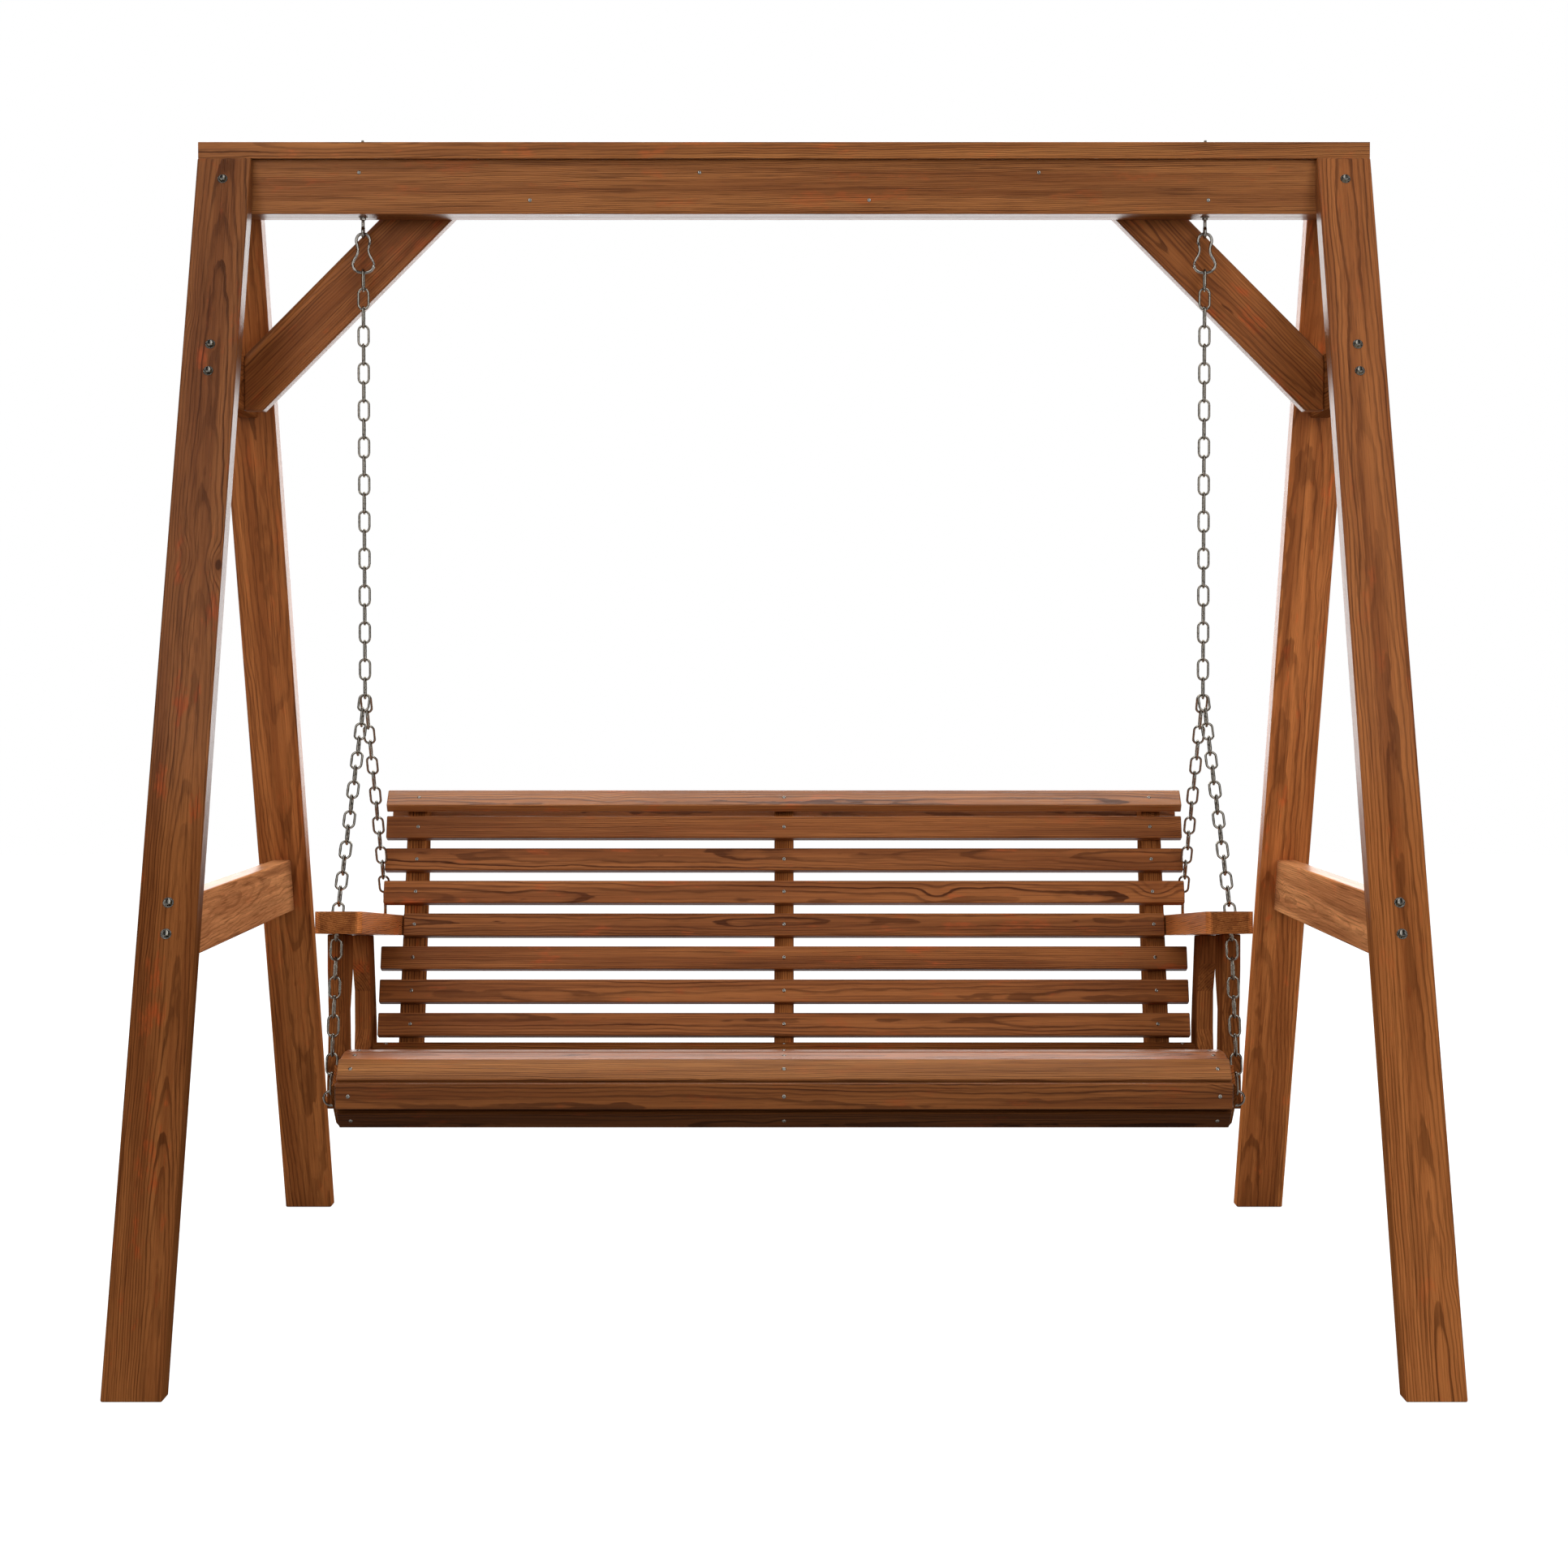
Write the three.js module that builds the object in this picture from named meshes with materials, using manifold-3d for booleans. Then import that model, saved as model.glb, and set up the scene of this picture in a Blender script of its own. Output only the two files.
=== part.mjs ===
// Porch swing: a timber A-frame stand with a slatted bench hung from it on steel chains.
// Millimetres, +Z up, front towards -Y. The origin is on the floor at the middle of the stand.
import * as THREE from 'three';
import { mergeVertices } from 'three/addons/utils/BufferGeometryUtils.js';
import Module from 'manifold-3d';

const wasm = await Module();
wasm.setup();

// Gap left between pieces that touch, and the slack of a bolt in its hole.
const GAP = 0.3;
const BOLT_SLACK = 0.4;

// Stand.
const HALF_WIDTH = 975;
const LEG_FACE = 89;
const LEG_DEPTH = 46;
const FOOT_Y = 851;
const LEG_LEAN = 0.4214;
const BOARD = 34;
const RAIL_HEIGHT = 96;
const RAIL_INNER_X = 915;
const LOWER_RAIL_Z = 601;
const UPPER_RAIL_Z = 1486;
const BEAM_BOTTOM = 1807;
const CAP_BOTTOM = 1897.5;
const CAP_THICKNESS = 27;
const CAP_HALF_DEPTH = 46;
const BRACE_FACE = 89.5;
const BRACE_CHAMFER = 9;
const BRACE_OUTER_TOP_X = 688;

// Hanging gear.
const HANG_X = 707;
const EYE_Z = 1781;
const EYE_RADIUS = 7.6;
const EYE_WIRE = 2.4;
const BOLT_RADIUS = 2.7;
const BOLT_TOP = 1935;
const NUT_POCKET_RADIUS = 10;
const NUT_POCKET_DEPTH = 8;
const HOOK_WIRE = 2.5;
const HOOK_TOP_Z = 1779.2;
const GATE_WIRE = 2.1;
const GATE_START = 0.145;
const GATE_END = 0.35;
const HINGE_GAP = 0.012;
const NOSE_GAP = 0.0085;

// Chain.
const LINK_WIRE = 4;
const LINK_WIDTH = 21;
const LINK_CORNER = 4.8;
const LINK_OVERLAP = 0.3;
const JUNCTION_Z = 1001;
const UPPER_LINKS = 23;
const FRONT_LINKS = 24;
const REAR_LINKS = 13;

// Bench.
const BENCH_SHIFT_Y = 14;
const SLAT_WIDTH = 41;
const SLAT_THICKNESS = 17;
const SEAT_SLAT_HALF = 703;
const BACK_SLAT_HALF = 701;
const ARM_LEVEL_SLAT_HALF = 664;
const BACK_SLATS = 7;
const BACK_PITCH = 59.75;
const BACK_FOOT = { y: 83.5, z: 437 };
const RECLINE = THREE.MathUtils.degToRad(21);
const RIB_THICKNESS = 34;
const RIB_OUTER_X = 665.7;
const SEAT_RAIL_INNER_X = 666;
const SEAT_RAIL_OUTER_X = 710.5;
const POST_OUTER_X = 739;
const ARM_OUTER_X = 741;
const ARM_THICKNESS = 35;
const ARM_FRONT = { y: -374, z: 665 };
const ARM_LENGTH = 626;
const ARM_SLOPE = THREE.MathUtils.degToRad(4.87);
const ARM_CORNER = 15;
const CHAIN_SLOT = { x: 713.5, y: -305, halfX: 13, halfY: 21 };
const FRONT_EYE = { x: 724.5, y: -309, z: 361 };
const REAR_EYE = { x: 703, y: 208.5, z: 651 };
const REAR_EYE_DEPTH = 27;
const BENCH_EYE_RADIUS = 11.5;
const BENCH_EYE_WIRE = 2;

// Seat slats from the bottom of the front roll to the back: middle of the show face and its tilt.
const SEAT_SLATS = [
  { name: 'seat_roll_under', y: -387, z: 335.5, tilt: 138.6 },
  { name: 'seat_roll_front', y: -417.5, z: 378, tilt: 90 },
  { name: 'seat_roll_corner', y: -389.5, z: 418, tilt: 45 },
  { name: 'seat_slat_1', y: -338, z: 433, tilt: 8 },
  { name: 'seat_slat_2', y: -292, z: 435.5, tilt: -2 },
  { name: 'seat_slat_3', y: -224, z: 427, tilt: -8 },
  { name: 'seat_slat_4', y: -156, z: 417, tilt: -8 },
  { name: 'seat_slat_5', y: -88, z: 409, tilt: -5.5 },
  { name: 'seat_slat_6', y: -20, z: 404.5, tilt: -2 },
  { name: 'seat_slat_7', y: 48, z: 407, tilt: 1 },
];

const SIDES = [['left', -1], ['right', 1]];

const STAIN = new THREE.MeshStandardMaterial({ color: 0x7b4a2c, roughness: 0.5, metalness: 0 });
const STEEL = new THREE.MeshStandardMaterial({ color: 0xb4aea2, roughness: 0.28, metalness: 1 });

function asSolid(geometry) {
  const bare = geometry.clone();
  bare.deleteAttribute('normal');
  bare.deleteAttribute('uv');
  const merged = mergeVertices(bare, 1e-4);
  return new wasm.Manifold(new wasm.Mesh({
    numProp: 3,
    vertProperties: new Float32Array(merged.attributes.position.array),
    triVerts: new Uint32Array(merged.index.array),
  }));
}

function asGeometry(solid) {
  const mesh = solid.getMesh();
  const geometry = new THREE.BufferGeometry();
  geometry.setAttribute('position', new THREE.BufferAttribute(new Float32Array(mesh.vertProperties), 3));
  geometry.setIndex(new THREE.BufferAttribute(new Uint32Array(mesh.triVerts), 1));
  geometry.computeVertexNormals();
  return geometry;
}

function join(geometries) {
  return asGeometry(geometries.map(asSolid).reduce((whole, next) => whole.add(next)));
}

function cut(geometry, tools) {
  return asGeometry(tools.map(asSolid).reduce((whole, next) => whole.subtract(next), asSolid(geometry)));
}

function piece(name, geometry, material = STAIN) {
  const mesh = new THREE.Mesh(geometry, material);
  mesh.name = name;
  return mesh;
}

// A side profile of [y, z] points, extruded along X between two stations.
function profileAlongX(points, xFrom, xTo) {
  const low = Math.min(xFrom, xTo);
  const shape = new THREE.Shape(points.map(([y, z]) => new THREE.Vector2(y, z)));
  const geometry = new THREE.ExtrudeGeometry(shape, { depth: Math.abs(xTo - xFrom), bevelEnabled: false });
  const basis = new THREE.Matrix4().makeBasis(
    new THREE.Vector3(0, 1, 0), new THREE.Vector3(0, 0, 1), new THREE.Vector3(1, 0, 0));
  return geometry.applyMatrix4(basis).translate(low, 0, 0);
}

// A front profile of [x, z] points, extruded along Y between two stations.
function profileAlongY(points, yFrom, yTo) {
  const shape = new THREE.Shape(points.map(([x, z]) => new THREE.Vector2(x, z)));
  const geometry = new THREE.ExtrudeGeometry(shape, { depth: yTo - yFrom, bevelEnabled: false });
  return geometry.rotateX(Math.PI / 2).translate(0, yTo, 0);
}

function block(xFrom, xTo, yFrom, yTo, zFrom, zTo) {
  const box = new THREE.BoxGeometry(Math.abs(xTo - xFrom), Math.abs(yTo - yFrom), Math.abs(zTo - zFrom));
  return box.translate((xFrom + xTo) / 2, (yFrom + yTo) / 2, (zFrom + zTo) / 2);
}

function uprightRod(x, y, zFrom, zTo, radius, sides = 12) {
  const rod = new THREE.CylinderGeometry(radius, radius, zTo - zFrom, sides);
  return rod.rotateX(Math.PI / 2).translate(x, y, (zFrom + zTo) / 2);
}

function sidewaysRod(xFrom, xTo, y, z, radius, sides = 12) {
  const rod = new THREE.CylinderGeometry(radius, radius, Math.abs(xTo - xFrom), sides);
  return rod.rotateZ(Math.PI / 2).translate((xFrom + xTo) / 2, y, z);
}

// ---- Stand ----

const legInnerY = (z) => FOOT_Y - LEG_DEPTH - LEG_LEAN * z;

function leg(end, side) {
  const top = CAP_BOTTOM - GAP;
  const beamFace = BOARD + GAP;
  const meetBeamZ = (FOOT_Y - LEG_DEPTH - beamFace) / LEG_LEAN;
  const outline = [
    [FOOT_Y, 0],
    [FOOT_Y - LEG_DEPTH, 0],
    [beamFace, meetBeamZ],
    [beamFace, top],
    [FOOT_Y - LEG_LEAN * top, top],
  ].map(([y, z]) => [end * y, z]);
  return profileAlongX(outline, side * (HALF_WIDTH - LEG_FACE), side * HALF_WIDTH);
}

// A cross rail between the front and the rear leg, its ends cut to the lean of the legs.
function crossRail(zFrom, side) {
  const zTo = zFrom + RAIL_HEIGHT;
  const reachLow = legInnerY(zFrom) - GAP;
  const reachHigh = legInnerY(zTo) - GAP;
  const outline = [[-reachLow, zFrom], [reachLow, zFrom], [reachHigh, zTo], [-reachHigh, zTo]];
  return profileAlongX(outline, side * RAIL_INNER_X, side * (RAIL_INNER_X + BOARD));
}

// A 45 degree knee brace, lapped on the back of the beam and butted on the upper rail.
function brace(side) {
  const top = CAP_BOTTOM - GAP;
  const endX = RAIL_INNER_X - GAP;
  const spread = BRACE_FACE * Math.SQRT2;
  const outerSum = BRACE_OUTER_TOP_X + BEAM_BOTTOM;
  const innerSum = outerSum - spread;
  const bottom = UPPER_RAIL_Z;
  const outline = [
    [outerSum - top, top],
    [endX, outerSum - endX],
    [endX, bottom],
    [innerSum - bottom, bottom],
    [innerSum - top, top],
  ].map(([x, z]) => [side * x, z]);
  const face = BOARD + GAP;
  const body = profileAlongY(outline, face, face + BOARD);
  const arris = new THREE.BoxGeometry(BRACE_CHAMFER * Math.SQRT2, 3 * HALF_WIDTH, BRACE_CHAMFER * Math.SQRT2);
  arris.rotateY(Math.PI / 4).rotateZ(Math.PI / 2);
  arris.rotateY(side * Math.PI / 4).translate(side * outerSum / 2, face, outerSum / 2);
  return cut(body, [arris]);
}

function standGroup() {
  const group = new THREE.Group();
  const capTop = CAP_BOTTOM + CAP_THICKNESS;
  const beamTop = CAP_BOTTOM - GAP;
  const boltHoles = SIDES.map(([, side]) =>
    uprightRod(side * HANG_X, 0, BEAM_BOTTOM - BOARD, BOLT_TOP, BOLT_RADIUS + BOLT_SLACK));
  const nutPockets = SIDES.map(([, side]) =>
    uprightRod(side * HANG_X, 0, capTop - NUT_POCKET_DEPTH, BOLT_TOP, NUT_POCKET_RADIUS, 16));
  const frontBoard = block(-HALF_WIDTH, HALF_WIDTH, -BOARD, -GAP / 2, BEAM_BOTTOM, beamTop);
  const rearBoard = block(-HALF_WIDTH, HALF_WIDTH, GAP / 2, BOARD, BEAM_BOTTOM, beamTop);
  const capBoard = block(-HALF_WIDTH, HALF_WIDTH, -CAP_HALF_DEPTH, CAP_HALF_DEPTH, CAP_BOTTOM, capTop);
  group.add(piece('beam_front_board', cut(frontBoard, boltHoles)));
  group.add(piece('beam_rear_board', cut(rearBoard, boltHoles)));
  group.add(piece('cap_board', cut(capBoard, [...boltHoles, ...nutPockets])));
  for (const [word, side] of SIDES) {
    group.add(piece(`${word}_front_leg`, leg(-1, side)));
    group.add(piece(`${word}_rear_leg`, leg(1, side)));
    group.add(piece(`${word}_lower_rail`, crossRail(LOWER_RAIL_Z, side)));
    group.add(piece(`${word}_upper_rail`, crossRail(UPPER_RAIL_Z, side)));
    group.add(piece(`${word}_knee_brace`, brace(side)));
    group.add(piece(`${word}_beam_eye_bolt`, beamEyeBolt(side), STEEL));
  }
  return group;
}

// ---- Steel hanging gear ----

function beamEyeBolt(side) {
  const ring = new THREE.TorusGeometry(EYE_RADIUS, EYE_WIRE, 8, 16);
  ring.rotateY(Math.PI / 2).translate(side * HANG_X, 0, EYE_Z);
  const shank = uprightRod(side * HANG_X, 0, EYE_Z + EYE_RADIUS - EYE_WIRE / 2, BOLT_TOP, BOLT_RADIUS);
  return join([ring, shank]);
}

// Centre line of the pear-shaped snap hook in its own XZ plane, from its top down the gate's side.
const HOOK_HALF = [
  [8, -3], [11.5, -11], [9.8, -20], [8.6, -27.5], [11.2, -36.5], [15.8, -44.5], [17.8, -52.5], [12.6, -62],
];
const HOOK_DROP = 65.5;

function hookCurve(gateSide) {
  const right = HOOK_HALF.map(([x, z]) => new THREE.Vector3(gateSide * x, 0, z));
  const left = HOOK_HALF.map(([x, z]) => new THREE.Vector3(-gateSide * x, 0, z)).reverse();
  const top = new THREE.Vector3(0, 0, 0);
  const bottom = new THREE.Vector3(0, 0, -HOOK_DROP);
  return new THREE.CatmullRomCurve3([top, ...right, bottom, ...left], true, 'centripetal');
}

// A stretch of the hook's centre line, from one fraction of its length to another.
class HookStretch extends THREE.Curve {
  constructor(from, to, gateSide) {
    super();
    this.from = from;
    this.to = to;
    this.loop = hookCurve(gateSide);
  }

  getPoint(t, target = new THREE.Vector3()) {
    const along = this.from + (this.to - this.from) * t;
    return target.copy(this.loop.getPointAt(((along % 1) + 1) % 1));
  }
}

function wireAlong(curve, radius, steps) {
  const section = new THREE.Shape();
  section.absarc(0, 0, radius, 0, 2 * Math.PI, false);
  const settings = { extrudePath: curve, steps, curveSegments: 4, bevelEnabled: false };
  return new THREE.ExtrudeGeometry(section, settings);
}

// An eight-cornered link outline with a rectangular window, extruded to the wire's thickness.
function linkGeometry(pitch) {
  const halfWide = LINK_WIDTH / 2;
  const innerHalfLong = (pitch - LINK_OVERLAP) / 2;
  const halfLong = innerHalfLong + LINK_WIRE;
  const innerHalfWide = halfWide - LINK_WIRE;
  const outer = [
    [halfWide, LINK_CORNER - halfLong], [halfWide, halfLong - LINK_CORNER],
    [halfWide - LINK_CORNER, halfLong], [LINK_CORNER - halfWide, halfLong],
    [-halfWide, halfLong - LINK_CORNER], [-halfWide, LINK_CORNER - halfLong],
    [LINK_CORNER - halfWide, -halfLong], [halfWide - LINK_CORNER, -halfLong],
  ];
  const window = [
    [-innerHalfWide, -innerHalfLong], [-innerHalfWide, innerHalfLong],
    [innerHalfWide, innerHalfLong], [innerHalfWide, -innerHalfLong],
  ];
  const shape = new THREE.Shape(outer.map(([x, y]) => new THREE.Vector2(x, y)));
  shape.holes.push(new THREE.Path(window.map(([x, y]) => new THREE.Vector2(x, y))));
  const link = new THREE.ExtrudeGeometry(shape, { depth: LINK_WIRE, bevelEnabled: false });
  return link.translate(0, 0, -LINK_WIRE / 2);
}

// Points one pitch apart along a route of straight stretches.
function stations(route, count) {
  const path = new THREE.CurvePath();
  for (let i = 1; i < route.length; i += 1) {
    path.add(new THREE.LineCurve3(route[i - 1], route[i]));
  }
  return Array.from({ length: count + 1 }, (_, i) => path.getPointAt(i / count));
}

// A run of links along a route. Each link is a quarter turn from the one before.
function chain(route, count, firstFaceOn) {
  const points = stations(route, count);
  const acrossX = new THREE.Vector3(1, 0, 0);
  const links = [];
  for (let i = 0; i < count; i += 1) {
    const along = new THREE.Vector3().subVectors(points[i + 1], points[i]);
    const pitch = along.length();
    along.normalize();
    const inPlane = new THREE.Vector3().crossVectors(along, acrossX).normalize();
    const sideways = new THREE.Vector3().crossVectors(inPlane, along).normalize();
    const faceOn = (i % 2 === 0) === firstFaceOn;
    const wide = faceOn ? sideways : inPlane;
    const thick = new THREE.Vector3().crossVectors(wide, along);
    const middle = new THREE.Vector3().addVectors(points[i], points[i + 1]).multiplyScalar(0.5);
    const place = new THREE.Matrix4().makeBasis(wide, along, thick).setPosition(middle);
    links.push(linkGeometry(pitch).applyMatrix4(place));
  }
  return join(links);
}

function hangingGroup() {
  const group = new THREE.Group();
  const hookBottom = HOOK_TOP_Z - HOOK_DROP + HOOK_WIRE + GAP + LINK_OVERLAP / 2;
  for (const [word, side] of SIDES) {
    const hook = new THREE.Group();
    hook.position.set(side * HANG_X, 0, HOOK_TOP_Z);
    const bodyStretch = new HookStretch(GATE_END + NOSE_GAP, GATE_START + 1 - HINGE_GAP, -side);
    const body = wireAlong(bodyStretch, HOOK_WIRE, 26);
    const gate = wireAlong(new HookStretch(GATE_START, GATE_END, -side), GATE_WIRE, 8);
    hook.add(piece(`${word}_snap_hook`, body, STEEL));
    hook.add(piece(`${word}_hook_gate`, gate, STEEL));
    group.add(hook);
    const route = [
      new THREE.Vector3(side * HANG_X, 0, hookBottom),
      new THREE.Vector3(side * HANG_X, 0, JUNCTION_Z),
    ];
    group.add(piece(`${word}_upper_chain`, chain(route, UPPER_LINKS, false), STEEL));
  }
  return group;
}

// ---- Bench ----

// A slat lying along X: its show face is centred on (y, z) and tilted from level, front edge down.
function slat(name, y, z, tiltDegrees, half = BACK_SLAT_HALF, width = SLAT_WIDTH, thickness = SLAT_THICKNESS) {
  const geometry = block(-half, half, -width / 2, width / 2, -thickness, 0);
  const mesh = piece(name, geometry);
  mesh.rotation.x = THREE.MathUtils.degToRad(tiltDegrees);
  mesh.position.set(0, y, z);
  return mesh;
}

function seatSlats() {
  return SEAT_SLATS.map(({ name, y, z, tilt }) => slat(name, y, z, tilt, SEAT_SLAT_HALF));
}

// A point in the back's own frame: distance up the back, and depth behind the slats' show faces.
function backPoint(up, depth) {
  const y = BACK_FOOT.y + up * Math.sin(RECLINE) + depth * Math.cos(RECLINE);
  const z = BACK_FOOT.z + up * Math.cos(RECLINE) - depth * Math.sin(RECLINE);
  return [y, z];
}

const BACK_TILT = 90 - THREE.MathUtils.radToDeg(RECLINE);
const CAP_SLAT = { y: 227.9, z: 822.9, tilt: 39 };
const TOP_RAIL_UP = 407;
const TOP_RAIL_HEIGHT = 36;
const TOP_RAIL_THICKNESS = 34;
const RIB_DEPTH_LOW = 94;
const RIB_DEPTH_TOP = 62;

function backSlats() {
  const slats = [];
  for (let i = 0; i < BACK_SLATS; i += 1) {
    const [y, z] = backPoint(i * BACK_PITCH, 0);
    const half = i === 3 ? ARM_LEVEL_SLAT_HALF : BACK_SLAT_HALF;
    slats.push(slat(`back_slat_${i + 1}`, y, z, BACK_TILT, half));
  }
  slats.push(slat('back_cap_slat', CAP_SLAT.y, CAP_SLAT.z, CAP_SLAT.tilt));
  const railDepth = SLAT_THICKNESS + RIB_DEPTH_TOP + GAP + TOP_RAIL_THICKNESS;
  const [railY, railZ] = backPoint(TOP_RAIL_UP, railDepth);
  const railSection = [BACK_SLAT_HALF, TOP_RAIL_HEIGHT, TOP_RAIL_THICKNESS];
  slats.push(slat('back_top_rail', railY, railZ, BACK_TILT + 180, ...railSection));
  return slats;
}

// A point just under the cap slat, from its middle (0) towards its rear edge.
function underCap(across) {
  const tilt = THREE.MathUtils.degToRad(CAP_SLAT.tilt);
  const below = SLAT_THICKNESS + GAP;
  const y = CAP_SLAT.y + across * Math.cos(tilt) + below * Math.sin(tilt);
  const z = CAP_SLAT.z + across * Math.sin(tilt) - below * Math.cos(tilt);
  return [y, z];
}

// How far up the back a line at one depth meets the underside of the cap slat.
function upToCap(depth) {
  const tilt = THREE.MathUtils.degToRad(CAP_SLAT.tilt);
  const [startY, startZ] = backPoint(0, depth);
  const [capY, capZ] = underCap(0);
  const away = (capZ - startZ) * Math.cos(tilt) - (capY - startY) * Math.sin(tilt);
  return away / Math.cos(RECLINE + tilt);
}

// Side profile of an upright rib. Its top is cut to the slope of the cap slat.
function ribOutline() {
  const front = SLAT_THICKNESS + GAP;
  const rearTop = SLAT_THICKNESS + RIB_DEPTH_TOP;
  const rearLow = SLAT_THICKNESS + RIB_DEPTH_LOW;
  return [
    backPoint(-118, front),
    backPoint(upToCap(front), front),
    underCap(SLAT_WIDTH / 2),
    backPoint(TOP_RAIL_UP + TOP_RAIL_HEIGHT / 2, rearTop),
    backPoint(TOP_RAIL_UP - TOP_RAIL_HEIGHT / 2, rearTop),
    backPoint(310, rearTop + 15),
    backPoint(150, rearTop + 24),
    backPoint(20, rearLow),
    backPoint(-95, rearLow),
    backPoint(-125, rearLow - 26),
  ];
}

// Side profile of a seat rail, running under the slats from the front roll to the back.
const REAR_RAIL_TOP = 389.8;
const RAIL_TOP_LINE = [
  [-352, 328], [-366, 340], [-390, 361], [-400.2, 363], [-400.2, 393], [-392, 393.6], [-364, 421],
  [-352, 414], [-316, 418.8], [-272, 417], [-222, 409.5], [-156, 399.5], [-88, 391.6],
  [-20, 387.1], [22, 387.4], [26, REAR_RAIL_TOP], [68, REAR_RAIL_TOP],
];
const SIDE_RAIL_END = [[176, 374], [176, 300], [150, 290], [60, 290], [-180, 304], [-320, 318]];

// The middle rail stops against the front edge of the middle rib.
function centreRailEnd() {
  const ribFront = SLAT_THICKNESS;
  const meetY = (z) => {
    const up = (z - BACK_FOOT.z + ribFront * Math.sin(RECLINE)) / Math.cos(RECLINE);
    return backPoint(up, ribFront)[0];
  };
  return [[meetY(REAR_RAIL_TOP), REAR_RAIL_TOP], [meetY(292), 292], [-180, 304], [-320, 318]];
}

function slatCutters(slats) {
  return slats.map((mesh) => {
    mesh.updateMatrix();
    const { min, max } = new THREE.Box3().setFromBufferAttribute(mesh.geometry.attributes.position);
    const grown = block(min.x, max.x, min.y - GAP, max.y + GAP, min.z - GAP, max.z + GAP);
    return grown.applyMatrix4(mesh.matrix);
  });
}

function seatRails(slats) {
  const cutters = slatCutters(slats);
  const rails = SIDES.map(([word, side]) => {
    const outline = [...RAIL_TOP_LINE, ...SIDE_RAIL_END];
    const body = profileAlongX(outline, side * SEAT_RAIL_INNER_X, side * SEAT_RAIL_OUTER_X);
    const hole = sidewaysRod(side * (SEAT_RAIL_INNER_X + 4), side * (SEAT_RAIL_OUTER_X + 20),
      FRONT_EYE.y, FRONT_EYE.z, BOLT_RADIUS + BOLT_SLACK);
    return piece(`${word}_seat_rail`, cut(body, [...cutters, hole]));
  });
  const halfRib = RIB_THICKNESS / 2;
  const centre = profileAlongX([...RAIL_TOP_LINE, ...centreRailEnd()], -halfRib, halfRib);
  rails.push(piece('centre_seat_rail', cut(centre, cutters)));
  return rails;
}

function backRibs() {
  const halfRib = RIB_THICKNESS / 2;
  const innerX = RIB_OUTER_X - RIB_THICKNESS;
  const ribs = SIDES.map(([word, side]) =>
    piece(`${word}_back_rib`, profileAlongX(ribOutline(), side * innerX, side * RIB_OUTER_X)));
  ribs.push(piece('centre_back_rib', profileAlongX(ribOutline(), -halfRib, halfRib)));
  return ribs;
}

const armTopZ = (y) => ARM_FRONT.z - Math.tan(ARM_SLOPE) * (y - ARM_FRONT.y);
const armUnderZ = (y) => armTopZ(y) - ARM_THICKNESS / Math.cos(ARM_SLOPE) - GAP;

function armrest(side) {
  const width = ARM_OUTER_X - SEAT_RAIL_INNER_X;
  const outline = new THREE.Shape();
  outline.moveTo(0, ARM_LENGTH);
  outline.lineTo(0, ARM_CORNER);
  outline.absarc(ARM_CORNER, ARM_CORNER, ARM_CORNER, Math.PI, 1.5 * Math.PI, false);
  outline.absarc(width - ARM_CORNER, ARM_CORNER, ARM_CORNER, 1.5 * Math.PI, 2 * Math.PI, false);
  outline.lineTo(width, ARM_LENGTH);
  const settings = { depth: ARM_THICKNESS, curveSegments: 4, bevelEnabled: false };
  const board = new THREE.ExtrudeGeometry(outline, settings);
  board.translate(-width / 2, 0, -ARM_THICKNESS).rotateX(-ARM_SLOPE);
  board.translate(side * (SEAT_RAIL_INNER_X + width / 2), ARM_FRONT.y, ARM_FRONT.z);
  const slot = new THREE.CylinderGeometry(1, 1, 3 * ARM_THICKNESS, 16).rotateX(Math.PI / 2);
  slot.scale(CHAIN_SLOT.halfX, CHAIN_SLOT.halfY, 1);
  slot.translate(side * CHAIN_SLOT.x, CHAIN_SLOT.y, armTopZ(CHAIN_SLOT.y));
  const eyeTop = armTopZ(REAR_EYE.y);
  const eyeHole = uprightRod(side * REAR_EYE.x, REAR_EYE.y, eyeTop - REAR_EYE_DEPTH - BOLT_SLACK,
    eyeTop + ARM_THICKNESS, BOLT_RADIUS + BOLT_SLACK);
  return cut(board, [slot, eyeHole]);
}

const FRONT_POST = [
  [-244, 560], [-236, 490], [-243, 430], [-256, 380], [-260, 337],
  [-152, 337], [-158, 380], [-172, 430], [-176, 490], [-148, 545],
];
const REAR_POST = [
  [45, 545], [72, 495], [73, 430], [62, 380], [54, 326],
  [142, 326], [150, 380], [151, 430], [140, 480], [122, 555],
];

// A wavy-edged upright between a seat rail and its armrest.
function armPost(waves, frontTop, rearTop, side) {
  const outline = [[frontTop, armUnderZ(frontTop)], ...waves, [rearTop, armUnderZ(rearTop)]];
  return profileAlongX(outline, side * (SEAT_RAIL_OUTER_X + GAP), side * POST_OUTER_X);
}

function frontBenchEye(side) {
  const ring = new THREE.TorusGeometry(BENCH_EYE_RADIUS, BENCH_EYE_WIRE, 6, 16);
  ring.rotateX(Math.PI / 2).translate(side * FRONT_EYE.x, FRONT_EYE.y, FRONT_EYE.z);
  const near = FRONT_EYE.x - BENCH_EYE_RADIUS + 1;
  const shank = sidewaysRod(side * (SEAT_RAIL_INNER_X + 6), side * near, FRONT_EYE.y, FRONT_EYE.z, BOLT_RADIUS);
  return join([ring, shank]);
}

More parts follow.
